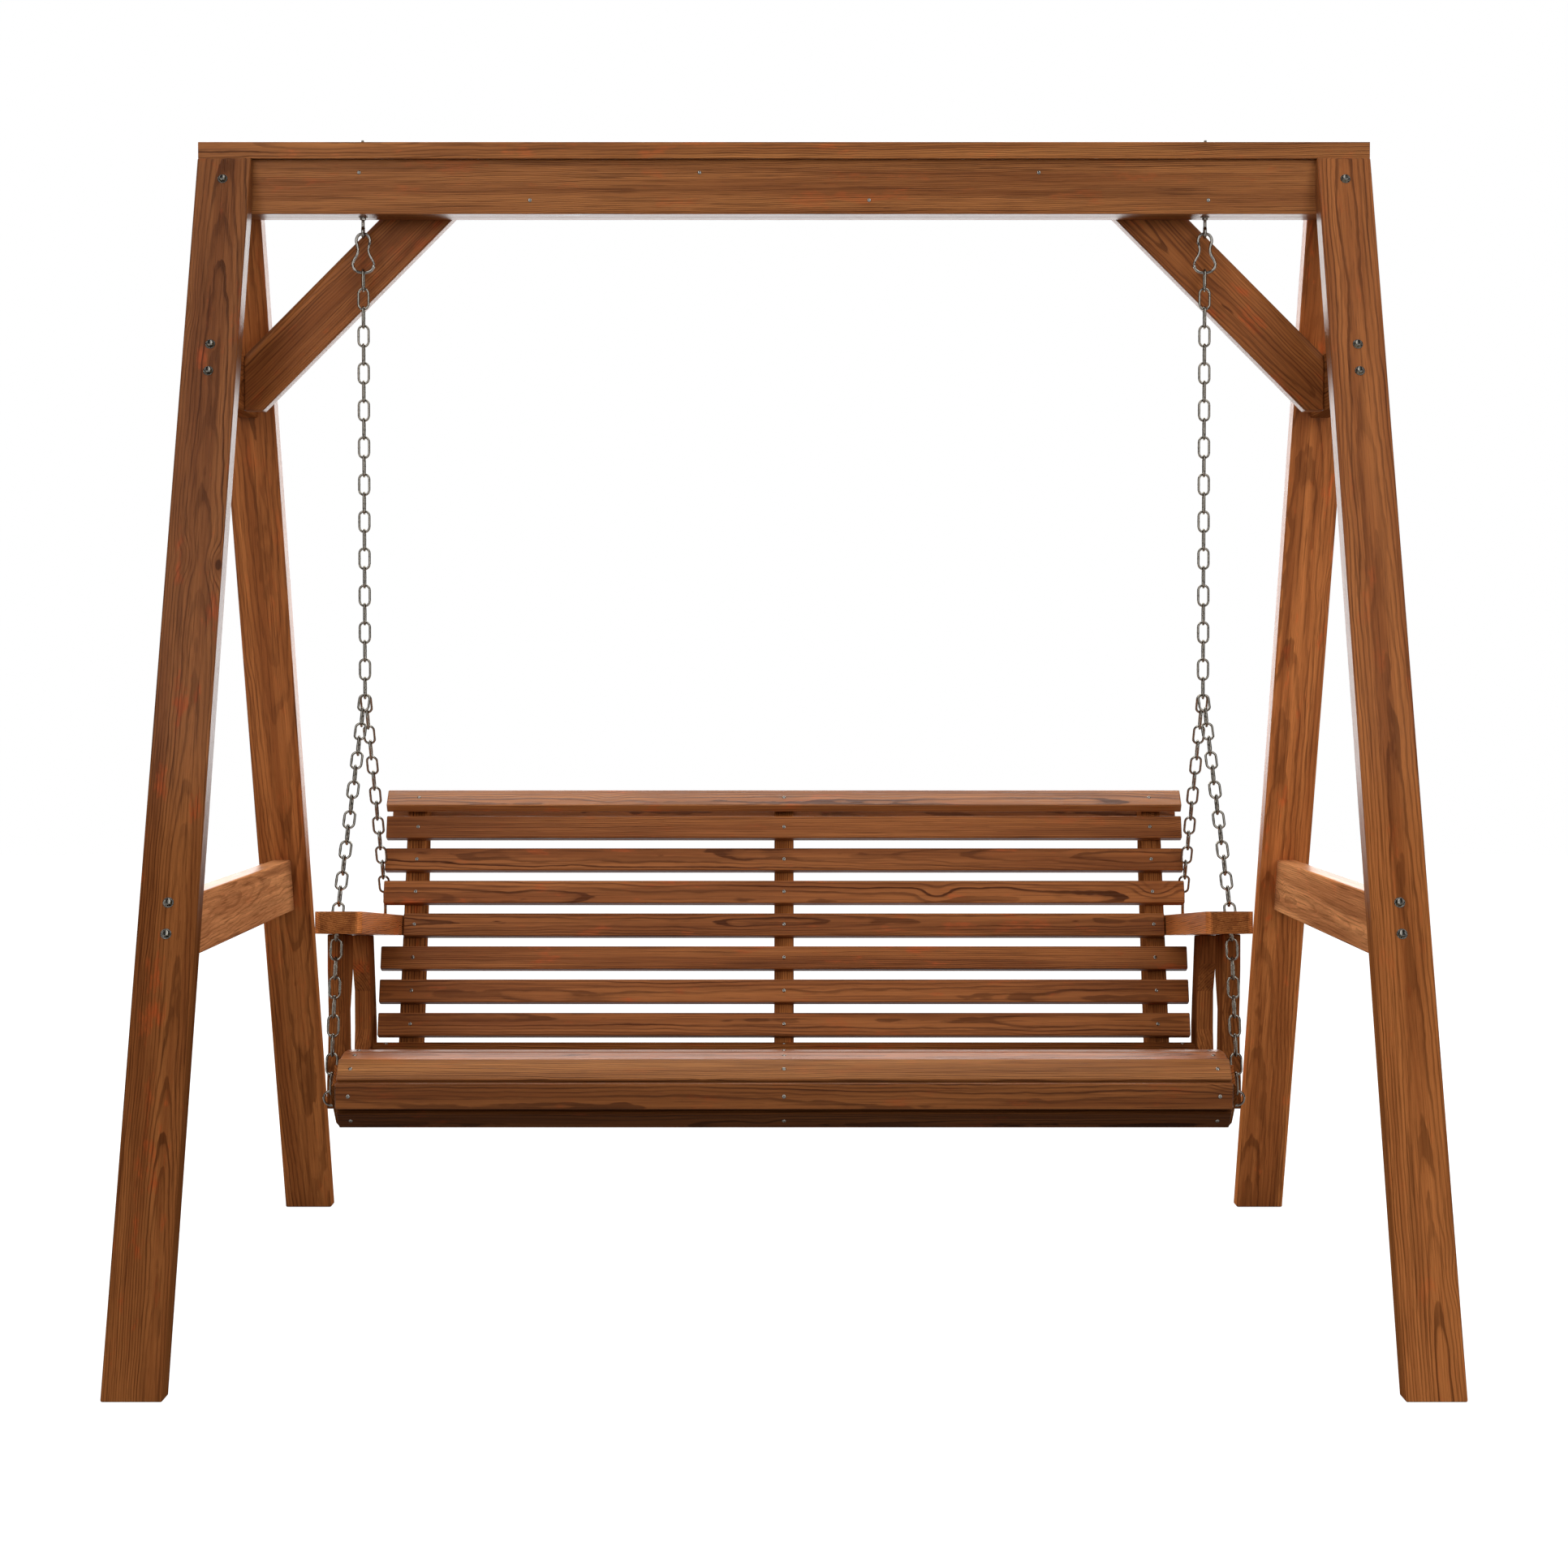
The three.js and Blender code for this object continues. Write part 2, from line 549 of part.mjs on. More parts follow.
function rearBenchEye(side) {
  const ring = new THREE.TorusGeometry(BENCH_EYE_RADIUS, BENCH_EYE_WIRE, 6, 16);
  ring.rotateY(Math.PI / 2).translate(side * REAR_EYE.x, REAR_EYE.y, REAR_EYE.z);
  const low = armTopZ(REAR_EYE.y) - REAR_EYE_DEPTH;
  const high = REAR_EYE.z - BENCH_EYE_RADIUS + 1;
  const shank = uprightRod(side * REAR_EYE.x, REAR_EYE.y, low, high, BOLT_RADIUS);
  return join([ring, shank]);
}

// The two lower chains of one side share the last upper link, one behind the other.
const JUNCTION_SLACK = 2.4;
const JUNCTION_SPREAD = 4.1;
const EYE_SLACK = 1.1;

function lowerChains(word, side) {
  const innerRadius = BENCH_EYE_RADIUS - BENCH_EYE_WIRE;
  const start = (end) => new THREE.Vector3(side * HANG_X, end * JUNCTION_SPREAD - BENCH_SHIFT_Y,
    JUNCTION_Z + JUNCTION_SLACK);
  const inSlot = new THREE.Vector3(side * CHAIN_SLOT.x, CHAIN_SLOT.y - 3, armTopZ(CHAIN_SLOT.y) - 7);
  const atFrontEye = new THREE.Vector3(side * FRONT_EYE.x, FRONT_EYE.y, FRONT_EYE.z + innerRadius - EYE_SLACK);
  const pull = new THREE.Vector3(0, start(1).y - REAR_EYE.y, start(1).z - REAR_EYE.z).normalize();
  const atRearEye = new THREE.Vector3(side * REAR_EYE.x, REAR_EYE.y, REAR_EYE.z);
  atRearEye.addScaledVector(pull, innerRadius - EYE_SLACK);
  const front = chain([start(-1), inSlot, atFrontEye], FRONT_LINKS, true);
  const rear = chain([start(1), atRearEye], REAR_LINKS, true);
  return [piece(`${word}_front_chain`, front, STEEL), piece(`${word}_rear_chain`, rear, STEEL)];
}

function benchGroup() {
  const group = new THREE.Group();
  group.position.y = BENCH_SHIFT_Y;
  const slats = seatSlats();
  group.add(...slats, ...seatRails(slats), ...backRibs(), ...backSlats());
  for (const [word, side] of SIDES) {
    group.add(piece(`${word}_armrest`, armrest(side)));
    group.add(piece(`${word}_front_arm_post`, armPost(FRONT_POST, -243, -146, side)));
    group.add(piece(`${word}_rear_arm_post`, armPost(REAR_POST, 43, 114, side)));
    group.add(piece(`${word}_front_bench_eye`, frontBenchEye(side), STEEL));
    group.add(piece(`${word}_rear_bench_eye`, rearBenchEye(side), STEEL));
    group.add(...lowerChains(word, side));
  }
  return group;
}

const swing = new THREE.Group();
swing.add(standGroup(), hangingGroup(), benchGroup());

export default swing;
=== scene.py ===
"""Looks of the porch swing: stained timber boards, bright steel chain and fixings, studio and camera."""

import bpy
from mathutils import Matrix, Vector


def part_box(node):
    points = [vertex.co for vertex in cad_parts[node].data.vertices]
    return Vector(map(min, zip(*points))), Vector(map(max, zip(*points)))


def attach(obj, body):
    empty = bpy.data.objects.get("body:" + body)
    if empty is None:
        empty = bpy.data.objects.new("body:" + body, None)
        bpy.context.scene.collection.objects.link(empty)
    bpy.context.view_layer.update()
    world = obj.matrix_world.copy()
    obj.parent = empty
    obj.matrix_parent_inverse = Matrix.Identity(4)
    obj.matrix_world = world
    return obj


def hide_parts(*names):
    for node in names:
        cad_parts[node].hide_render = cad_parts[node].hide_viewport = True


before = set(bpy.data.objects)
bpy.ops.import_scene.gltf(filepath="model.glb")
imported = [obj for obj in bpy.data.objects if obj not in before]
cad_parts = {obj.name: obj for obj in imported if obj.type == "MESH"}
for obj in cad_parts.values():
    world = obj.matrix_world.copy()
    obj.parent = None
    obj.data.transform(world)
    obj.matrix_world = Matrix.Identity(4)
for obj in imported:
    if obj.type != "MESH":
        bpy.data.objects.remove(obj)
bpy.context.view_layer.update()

import math
import random

import bmesh
import bpy
from mathutils import Matrix, Vector

X = Vector((1, 0, 0))
Y = Vector((0, 1, 0))
Z = Vector((0, 0, 1))
MM = 0.001
SIDES = (("left", -1), ("right", 1))

# Stand, in metres.
LEG_LEAN = 0.4214
FOOT_Y = 0.851
LEG_MIDDLE_X = 0.9305
BEAM_FACE_Y = 0.034
BEAM_BOTTOM = 1.807
CAP_TOP = 1.9245
BRACE_REAR_Y = 0.0683
LEG_BOLT_Z = (0.647, 0.693, 1.529, 1.574, 1.860)

# Hanging gear.
HANG_X = 0.707
EYE_Z = 1.781
EYE_RADIUS = 0.0076
EYE_WIRE = 0.0024
NECK_LAP = 0.4
BOLT_RADIUS = 0.0027
BOLT_TOP = 1.935
POCKET_DEPTH = 0.008
HOOK_TOP_Z = 1.7792
HOOK_WIRE = 0.0025
GATE_WIRE = 0.0021
# One side of the hook from its top down, as (half width, height), and its lowest point, in millimetres.
HOOK_HALF = (
    (8, -3), (11.5, -11), (9.8, -20), (8.6, -27.5),
    (11.2, -36.5), (15.8, -44.5), (17.8, -52.5), (12.6, -62),
)
HOOK_BOTTOM = -65.5
HOOK_POINTS = 160
CURVE_STEPS = 16
# The ends of the gate, as shares of the way round the hook.
GATE_START = 0.145
GATE_END = 0.35
# In the same shares: how far past those ends the gate's wire and the hook's nose start, and how far before
# the first one the hinge pin sits.
GATE_GAP = 0.012
NOSE_GAP = 0.0085
HINGE_LAP = 0.004
# How much thicker the nose is than the rest of the hook's wire.
NOSE_SWELL = 0.16
NOSE_POINTS = 5
# The latch pin sits this many points from the gate's end, a little to its inner side.
LATCH_POINT = -3
LATCH_SHIFT = 0.0002
HINGE_PIN = {"radius": 0.0021, "half": 0.0036, "inset": 0.0005, "chamfer": 0.0005, "sides": 16}
LATCH_PIN = {"radius": 0.0011, "half": 0.0031, "inset": 0.0002, "chamfer": 0.0003, "sides": 12}

# Bolts, nuts and washers.
WASHER_THICKNESS = 0.0013
WASHER_EDGE = 0.0003
LEG_WASHER = 0.00825
BEAM_WASHER = 0.0076
POCKET_WASHER = 0.0085
FRONT_EYE_WASHER = 0.0062
FRONT_EYE_WASHER_THICKNESS = 0.001
REAR_EYE_WASHER = 0.0072
BOLT_FLATS = 0.010
BOLT_HEAD_HEIGHT = 0.0042
NUT_FLATS = 0.0088
BEAM_NUT_HEIGHT = 0.0040
POCKET_NUT_HEIGHT = 0.0045
BORE_DEPTH = 0.0012
DIMPLE_DEPTH = 0.0003
THREAD_PITCH = 0.0009
THREAD_ROOT = 0.84
THREAD_CREST = 0.45
THREAD_TIP = 0.72
TIP_LENGTH = 0.0006
# A hexagon's turned chamfer: its heights above the foot and below the top, and its share of the corners.
HEX_FOOT = 0.0006
HEX_SHOULDER = 0.0009
HEX_EDGE = 0.0004
HEX_TURNED = 0.93
BORE_TAPER = 0.9
DIMPLE_SHARE = 0.78

# Chain.
LINK_WIRE_RADIUS = 0.002
LINK_WIDTH = 0.021
LINK_OVERLAP = 0.0003
LINK_ARC_STEPS = 9
# Where the points of a link's straight sides lie, as shares of half their length.
STRAIGHT_SHARES = (0.6, 0.25, 0.0, -0.25, -0.6)
WELD_HALF = 0.0022
WELD_SWELL = 1.10
CHAIN_TOP_Z = 1.71665
JUNCTION_Z = 1.001
JUNCTION_SLACK = 0.0024
JUNCTION_SPREAD = 0.0041
UPPER_LINKS = 23
FRONT_LINKS = 24
REAR_LINKS = 13

# Bench. Its own Y values count from BENCH_Y, where it hangs.
FRONT_EYE_Y = -0.309
eye_low, eye_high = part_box("left_front_bench_eye")
BENCH_Y = (eye_low.y + eye_high.y) / 2 - FRONT_EYE_Y
RECLINE_DEGREES = 21
RECLINE = math.radians(RECLINE_DEGREES)
ARM_SLOPE = math.radians(4.87)
ARM_FRONT_Y = -0.374
ARM_FRONT_Z = 0.665
SEAT_RAIL_OUTER_X = 0.7105
POST_OUTER_X = 0.739
CHAIN_SLOT = (0.7135, -0.305)
# Where the front chain runs in its slot: ahead of the slot's middle and below the armrest's top.
CHAIN_AHEAD = 0.003
CHAIN_BELOW = 0.007
FRONT_EYE = Vector((0.7245, FRONT_EYE_Y, 0.361))
FRONT_EYE_TIP_X = 0.674
REAR_EYE = Vector((0.703, 0.2085, 0.651))
REAR_EYE_DEPTH = 0.027
BENCH_EYE_RADIUS = 0.0115
BENCH_EYE_WIRE = 0.002
EYE_SLACK = 0.0011
SHANK_LAP = 0.0008
BACK_FOOT = (0.0835, 0.437)
BACK_PITCH = 0.05975
BACK_SLAT_COUNT = 7
# The middle of a slat's show face as (y, z), and its tilt in degrees.
CAP_SLAT = (0.2279, 0.8229, 39)
SEAT_FACES = {
    "seat_roll_under": (-0.387, 0.3355, 138.6),
    "seat_roll_front": (-0.4175, 0.378, 90),
    "seat_roll_corner": (-0.3895, 0.418, 45),
    "seat_slat_1": (-0.338, 0.433, 8),
    "seat_slat_2": (-0.292, 0.4355, -2),
    "seat_slat_3": (-0.224, 0.427, -8),
    "seat_slat_4": (-0.156, 0.417, -8),
    "seat_slat_5": (-0.088, 0.409, -5.5),
    "seat_slat_6": (-0.020, 0.4045, -2),
    "seat_slat_7": (0.048, 0.407, 1),
}

# Screw places. Heads sit a little way into the face.
SCREW_SINK = 0.0004
BEAM_SCREW_X = (-0.709, -0.424, -0.141, 0.142, 0.425, 0.708)
BEAM_SCREW_Z = (1.876, 1.830)
CAP_SCREW_START_X = -0.9
CAP_SCREW_SPACING = 0.3
CAP_SCREW_COUNT = 7
CAP_SCREW_Y = 0.017
SEAT_SCREW_X = (-0.6825, 0.0, 0.6825)
BACK_SCREW_X = (-0.645, 0.0, 0.645)
ARM_SCREW_X = 0.7247
ARM_SCREW_Y = (-0.235, -0.165, 0.055, 0.100)
POST_SCREWS_YZ = ((-0.232, 0.352), (-0.180, 0.368), (0.080, 0.345), (0.122, 0.362))
BRACE_SCREWS_XZ = ((0.655, 1.830), (0.625, 1.868), (0.885, 1.560), (0.870, 1.605))

# Colours, linear.
PALE_WOOD = (0.320, 0.109, 0.031)
BROWN_WOOD = (0.205, 0.063, 0.0175)
LATE_WOOD = (0.050, 0.0130, 0.0040)
RED_STAIN = (0.430, 0.082, 0.020)
KNOT_WOOD = (0.040, 0.011, 0.004)
CHAIN_STEEL = (0.42, 0.385, 0.33)
BRIGHT_STEEL = (0.46, 0.43, 0.385)
DARK_STEEL = (0.20, 0.185, 0.16)
EDGE_STEEL = (0.20, 0.19, 0.17)


# ---- Shader helpers ----

class Graph:
    """A node tree with short calls for the nodes used here. An input is a socket or a plain value."""

    def __init__(self, tree):
        self.tree = tree

    def node(self, kind, **settings):
        made = self.tree.nodes.new("ShaderNode" + kind)
        for key, value in settings.items():
            setattr(made, key, value)
        return made

    def feed(self, socket, value):
        if isinstance(value, bpy.types.NodeSocket):
            self.tree.links.new(value, socket)
        elif value is not None:
            socket.default_value = value

    def math(self, operation, a, b=None):
        made = self.node("Math", operation=operation)
        self.feed(made.inputs[0], a)
        self.feed(made.inputs[1], b)
        return made.outputs[0]

    def times(self, a, b):
        return self.math("MULTIPLY", a, b)

    def plus(self, a, b):
        return self.math("ADD", a, b)

    def vector(self, operation, a, b):
        made = self.node("VectorMath", operation=operation)
        self.feed(made.inputs[0], a)
        self.feed(made.inputs[1], b)
        return made.outputs[0]

    def noise(self, vector, scale, detail, roughness):
        stretched = self.vector("MULTIPLY", vector, scale)
        made = self.node("TexNoise")
        self.feed(made.inputs["Vector"], stretched)
        made.inputs["Scale"].default_value = 1.0
        made.inputs["Detail"].default_value = detail
        made.inputs["Roughness"].default_value = roughness
        return made

    def span(self, value, low, high, to_low=0.0, to_high=1.0):
        made = self.node("MapRange", interpolation_type="SMOOTHSTEP")
        for socket, given in zip(made.inputs, (value, low, high, to_low, to_high)):
            self.feed(socket, given)
        return made.outputs[0]

    def split(self, vector):
        made = self.node("SeparateXYZ")
        self.feed(made.inputs[0], vector)
        return made.outputs

    def bump(self, height, strength, distance):
        made = self.node("Bump")
        made.inputs["Strength"].default_value = strength
        made.inputs["Distance"].default_value = distance
        self.feed(made.inputs["Height"], height)
        return made.outputs[0]

    def ramp(self, value, stops):
        """A grey ramp through (place, level) stops, of which the first two are its ends."""
        made = self.node("ValToRGB")
        elements = made.color_ramp.elements
        for index, (place, level) in enumerate(stops):
            stop = elements[index] if index < 2 else elements.new(place)
            stop.position = place
            stop.color = (level, level, level, 1)
        self.feed(made.inputs[0], value)
        return made.outputs[0]

    def mix(self, factor, a, b, blend="MIX"):
        made = self.node("Mix", data_type="RGBA", blend_type=blend)
        self.feed(made.inputs[0], factor)
        self.feed(made.inputs[6], a if isinstance(a, bpy.types.NodeSocket) else (*a, 1))
        self.feed(made.inputs[7], b if isinstance(b, bpy.types.NodeSocket) else (*b, 1))
        return made.outputs[2]

    def grey(self, value):
        made = self.node("CombineColor")
        for socket in made.inputs[:3]:
            self.feed(socket, value)
        return made.outputs[0]


def new_material(name):
    """A new material, the short calls for its node tree, and its surface shader."""
    material = bpy.data.materials.new(name)
    material.use_nodes = True
    return material, Graph(material.node_tree), material.node_tree.nodes["Principled BSDF"]


def new_object(name, data):
    made = bpy.data.objects.new(name, data)
    bpy.context.scene.collection.objects.link(made)
    return made


# ---- Materials ----

# Noise in the wood: cells a metre along, across and through the board, then detail and roughness.
NOISES = {
    "slow_bend": ((1.3, 5, 5), 2, 0.5),
    "quick_bend": ((8.5, 26, 26), 3, 0.5),
    "ragged_ring": ((16, 150, 150), 3, 0.5),
    "ring_fade": ((2.6, 30, 30), 2, 0.5),
    "streak": ((1.1, 42, 42), 3, 0.55),
    "fibre": ((9, 520, 520), 4, 0.62),
    "pore": ((26, 900, 900), 2, 0.5),
    "cloud": ((9, 26, 26), 4, 0.7),
    "band": ((1.8, 46, 46), 2, 0.5),
    "line": ((4.5, 330, 330), 2, 0.5),
}
# The noise values where a pattern starts and where it is full.
EDGES = {
    "ring_fade": (0.36, 0.56),
    "streak": (0.34, 0.66),
    "pore": (0.60, 0.72),
    "cloud": (0.56, 0.70),
    "band": (0.56, 0.70),
    "line": (0.57, 0.66),
}
# How far from straight the grain runs, in metres.
SLOW_BEND_SIZE = 0.020
QUICK_BEND_SIZE = 0.0060
# Knots: cells a metre, and how far from a knot's middle each effect starts and is full, in metres.
KNOT_CELLS = (3.4, 6.5, 1.6)
CELLS_TO_METRES = 4.6
SWELL_REACH = (0.050, 0.006)
SWELL_SIZE = 0.008
HALO_REACH = (0.022, 0.008)
KNOT_REACH = (0.0095, 0.0060)
# The late wood across one year's ring: (place, strength).
RING_STOPS = ((0.0, 0.0), (1.0, 0.0), (0.50, 0.03), (0.66, 0.45), (0.72, 1.0), (0.94, 1.0))
RING_RAGGEDNESS = 0.32
# The weakest year's strength, what the strongest adds to it, and how rare strong years are.
RING_LEAST = 0.45
RING_RANGE = 0.50
RING_RARITY = 2.2
RING_FADED = 0.55
# How much of its colour each mark puts over the wood.
BAND_COVER = 0.25
LINE_COVER = 0.42
PORE_COVER = 0.35
HALO_COVER = 0.6
KNOT_COVER = 0.75
FIBRE_SHADE = (0.85, 0.58)
END_DARKENING = 0.55
FIBRE_ROUGHNESS = (0.20, 0.22)
LATE_SMOOTHNESS = 0.05
LATE_HEIGHT = 0.55
FIBRE_HEIGHT = 0.8
PORE_DEPTH = 0.5


def softwood_group():
    """Solid softwood in a board's own frame: X along the grain, the log's middle at Y = Z = 0, in metres."""
    tree = bpy.data.node_groups.new("stained_softwood", "ShaderNodeTree")
    for name, kind in (("Board", "Vector"), ("End", "Float"), ("Ring", "Float"), ("Grain", "Float"),
                       ("ToneAndLight", "Color"), ("Red", "Float")):
        tree.interface.new_socket(name, in_out="INPUT", socket_type="NodeSocket" + kind)
    for name, kind in (("Color", "Color"), ("Roughness", "Float"), ("Height", "Float")):
        tree.interface.new_socket(name, in_out="OUTPUT", socket_type="NodeSocket" + kind)
    g = Graph(tree)
    given = tree.nodes.new("NodeGroupInput").outputs
    board = given["Board"]

    def noise(name):
        return g.noise(board, *NOISES[name]).outputs[0]

    def pattern(name, to_low=0.0):
        return g.span(noise(name), *EDGES[name], to_low, 1.0)

    def bend(name, size):
        centred = g.vector("SUBTRACT", g.noise(board, *NOISES[name]).outputs["Color"], (0.5, 0.5, 0.5))
        return g.vector("MULTIPLY", centred, (0, size, size))

    bent = g.vector("ADD", board, bend("slow_bend", SLOW_BEND_SIZE))
    bent = g.vector("ADD", bent, bend("quick_bend", QUICK_BEND_SIZE))

    cells = g.node("TexVoronoi", feature="F1")
    g.feed(cells.inputs["Vector"], g.vector("MULTIPLY", board, KNOT_CELLS))
    cells.inputs["Scale"].default_value = 1.0
    from_knot = g.math("DIVIDE", cells.outputs["Distance"], CELLS_TO_METRES)
    swell = g.times(g.math("POWER", g.span(from_knot, *SWELL_REACH), 2.0), SWELL_SIZE)

    parts = g.split(bent)
    across = g.times(parts[1], parts[1])
    through = g.times(parts[2], parts[2])
    radius = g.plus(g.math("SQRT", g.plus(across, through)), swell)
    ragged = g.times(noise("ragged_ring"), RING_RAGGEDNESS)
    rings = g.plus(g.math("DIVIDE", radius, given["Ring"]), ragged)
    year = g.node("TexWhiteNoise", noise_dimensions="1D")
    g.feed(year.inputs["W"], g.math("FLOOR", rings))
    late = g.ramp(g.math("FRACT", rings), RING_STOPS)
    heavy = g.math("POWER", year.outputs["Value"], RING_RARITY)
    strength = g.plus(g.times(heavy, RING_RANGE), RING_LEAST)
    late = g.times(late, g.times(strength, pattern("ring_fade", RING_FADED)))
    late = g.times(late, given["Grain"])

    fibre = noise("fibre")
    pores = pattern("pore")
    colour = g.mix(pattern("streak"), PALE_WOOD, BROWN_WOOD)
    colour = g.mix(g.times(pattern("cloud"), given["Red"]), colour, RED_STAIN)
    colour = g.mix(g.times(pattern("band"), BAND_COVER), colour, LATE_WOOD)
    colour = g.mix(g.times(pattern("line"), LINE_COVER), colour, LATE_WOOD)
    colour = g.mix(late, colour, LATE_WOOD)
    colour = g.mix(g.times(pores, PORE_COVER), colour, LATE_WOOD)
    shade = g.plus(g.times(fibre, FIBRE_SHADE[0]), FIBRE_SHADE[1])
    colour = g.mix(1.0, colour, g.grey(shade), "MULTIPLY")
    halo = g.times(g.span(from_knot, *HALO_REACH), HALO_COVER)
    colour = g.mix(halo, colour, BROWN_WOOD)
    knot = g.times(g.span(from_knot, *KNOT_REACH), KNOT_COVER)
    colour = g.mix(knot, colour, KNOT_WOOD)
    end_shade = g.math("SUBTRACT", 1.0, g.times(given["End"], END_DARKENING))
    colour = g.mix(1.0, colour, g.grey(end_shade), "MULTIPLY")
    # Painted light, painted shade and a painted reflection tint come in here for some boards, multiplied into
    # the wood's colour.
    colour = g.mix(1.0, colour, given["ToneAndLight"], "MULTIPLY")

    rough = g.plus(g.times(fibre, FIBRE_ROUGHNESS[0]), FIBRE_ROUGHNESS[1])
    rough = g.math("SUBTRACT", rough, g.times(late, LATE_SMOOTHNESS))
    height = g.plus(g.times(late, LATE_HEIGHT), g.times(fibre, FIBRE_HEIGHT))
    height = g.math("SUBTRACT", height, g.times(pores, PORE_DEPTH))
    out = tree.nodes.new("NodeGroupOutput")
    g.feed(out.inputs["Color"], colour)
    g.feed(out.inputs["Roughness"], rough)
    g.feed(out.inputs["Height"], height)
    return tree


SOFTWOOD = softwood_group()


# How bright a board's colour is against the common wood: below 1 it is darker. Much of this is painted light
# and shade: painted shade on the roll's underside and front, which face down away from the lamps; a painted
# highlight on the roll corner, the first seat slat, the cap slat, the cap board and the beam front, whose
# faces turn up to the light; painted light on the rear legs and armrests, lightened against the shade they
# stand in; and painted light with a painted pale reflection on the lower rails. The rear seat slats, the left
# front leg and the arm posts are only set darker or lighter.
BOARD_TONE_AND_PAINTED_LIGHT = {
    "seat_roll_under": 0.40,
    "seat_roll_front": 0.66,
    "seat_roll_corner": 1.30,
    "beam_front_board": 1.08,
    "cap_board": 1.20,
    "seat_slat_1": 1.30,
    "back_cap_slat": 1.35,
    "seat_slat_5": 0.75,
    "seat_slat_6": 0.70,
    "seat_slat_7": 0.70,
    "left_front_leg": 0.66,
    "left_rear_leg": 1.42,
    "right_rear_leg": 1.80,
    "left_lower_rail": 2.05,
    "right_lower_rail": 2.10,
    **{f"{word}_armrest": 2.02 for word, _ in SIDES},
    **{f"{word}_front_arm_post": 0.85 for word, _ in SIDES},
    **{f"{word}_rear_arm_post": 1.08 for word, _ in SIDES},
}
# Boards made paler and less red by a painted reflection veil, as shares of red, green and blue; strongest on
# the lower rails, standing in for the pale sheen on their grazing faces.
PAINTED_VEIL_TINTS = {
    "cap_board": (1.08, 1.24, 1.32),
    "beam_front_board": (0.98, 1.08, 1.17),
    "seat_roll_corner": (0.98, 1.17, 1.25),
    "left_lower_rail": (1.10, 1.38, 1.90),
    "right_lower_rail": (1.15, 1.46, 2.00),
    "back_cap_slat": (1.0, 1.10, 1.15),
}
# Boards sawn so that the rings run straight along their show faces.
STRAIGHT_BOARDS = (
    "beam_front_board", "cap_board", "left_knee_brace", "back_slat_3", "back_slat_7", "seat_roll_corner",
)
# How strongly a board shines, by how its name ends: sheltered ones are matt, handled ones polished.
SHINE = {
    "lower_rail": 0.0,
    "upper_rail": 0.0,
    "back_rib": 0.0,
    "arm_post": 0.0,
    "seat_rail": 0.0,
    "armrest": 0.003,
    "seat_roll_under": 0.03,
    "seat_roll_corner": 0.18,
    "seat_slat_1": 0.60,
    "seat_slat_2": 0.45,
    "cap_slat": 0.58,
    **{f"seat_slat_{number}": 0.0 for number in range(3, 8)},
}
COMMON_SHINE = 0.13
RAIL_TOP_SHINE = 0.06
# The legs are matt below the first height, and at full shine above the second.
WORN_LEG = (0.55, 0.98)
# How clearly the rings show and how much red stain a board has, against the common level.
GRAIN = {"lower_rail": 0.45, "leg": 0.80, "knee_brace": 0.75, "rear_arm_post": 0.8, "armrest": 1.25}
REDNESS = {"seat_roll_corner": 0.15, "seat_slat_1": 0.3, "lower_rail": 0.3, "armrest": 0.5}

# The ranges that a board's own wood is drawn from, in metres: its middle's distance from the log's middle,
# sideways and in depth, then how far the grain strays a metre, and the width of a ring.
NARROW_CUT = {
    "across": (0.000, 0.018),
    "depth": (0.028, 0.060),
    "stray": (0.002, 0.010),
    "ring": (0.0026, 0.0040),
}
WIDE_CUT = {
    "across": (0.002, 0.022),
    "depth": (0.040, 0.075),
    "stray": (0.010, 0.026),
    "ring": (0.0028, 0.0040),
}
STRAIGHT_CUT = {"across": (0.060, 0.080), "depth": (0.020, 0.035)}
ARMREST_DEPTH = (0.110, 0.130)
LENGTH_SHIFT = (-40, 40)
TONE_RANGE = (0.92, 1.08)
RED_RANGE = (0.25, 0.80)
SIDEWAYS_STRAY = 0.4
# How squarely a face points along or up before it counts as a sawn end or a top face.
SQUARE_ON = (0.80, 0.95)
# Bump: its strength and its height in metres.
WOOD_BUMP = (0.35, 0.0006)
STEEL_BUMP = (0.12, 0.0002)


def by_ending(name, table, common):
    """The value a table gives to names with a certain ending, or the common one."""
    for ending, value in table.items():
        if name.endswith(ending):
            return value
    return common


def cut_from_log(name, narrow, rng):
    """Draws where the board's middle lies in the log, and how its grain strays sideways and in depth."""
    cut = NARROW_CUT if narrow else WIDE_CUT
    pith_side = rng.choice((-1, 1))
    across = rng.uniform(*cut["across"])
    depth = -rng.uniform(*cut["depth"])
    if name in STRAIGHT_BOARDS:
        across = rng.uniform(*STRAIGHT_CUT["across"])
        depth = -rng.uniform(*STRAIGHT_CUT["depth"])
    if name.endswith("armrest"):
        depth = -rng.uniform(*ARMREST_DEPTH)
    start = Vector((rng.uniform(*LENGTH_SHIFT), pith_side * across, depth))
    stray = rng.uniform(*cut["stray"]) * rng.choice((-1, 1))
    return start, (stray * SIDEWAYS_STRAY, stray)


def board_frame(g, place, centre, turn, start, strays):
    """The shader's position in the board's own frame: X along the grain, the log's middle at Y = Z = 0."""
    turned = g.node("Mapping", vector_type="POINT")
    g.feed(turned.inputs["Vector"], g.vector("SUBTRACT", place.outputs["Object"], tuple(centre)))
    turned.inputs["Rotation"].default_value = turn.to_euler("XYZ")
    parts = g.split(turned.outputs[0])
    made = g.node("CombineXYZ")
    g.feed(made.inputs[0], g.plus(parts[0], start.x))
    for index, stray in ((1, strays[0]), (2, strays[1])):
        moved = g.plus(parts[index], start[index])
        g.feed(made.inputs[index], g.plus(moved, g.times(parts[0], stray)))
    return made.outputs[0]


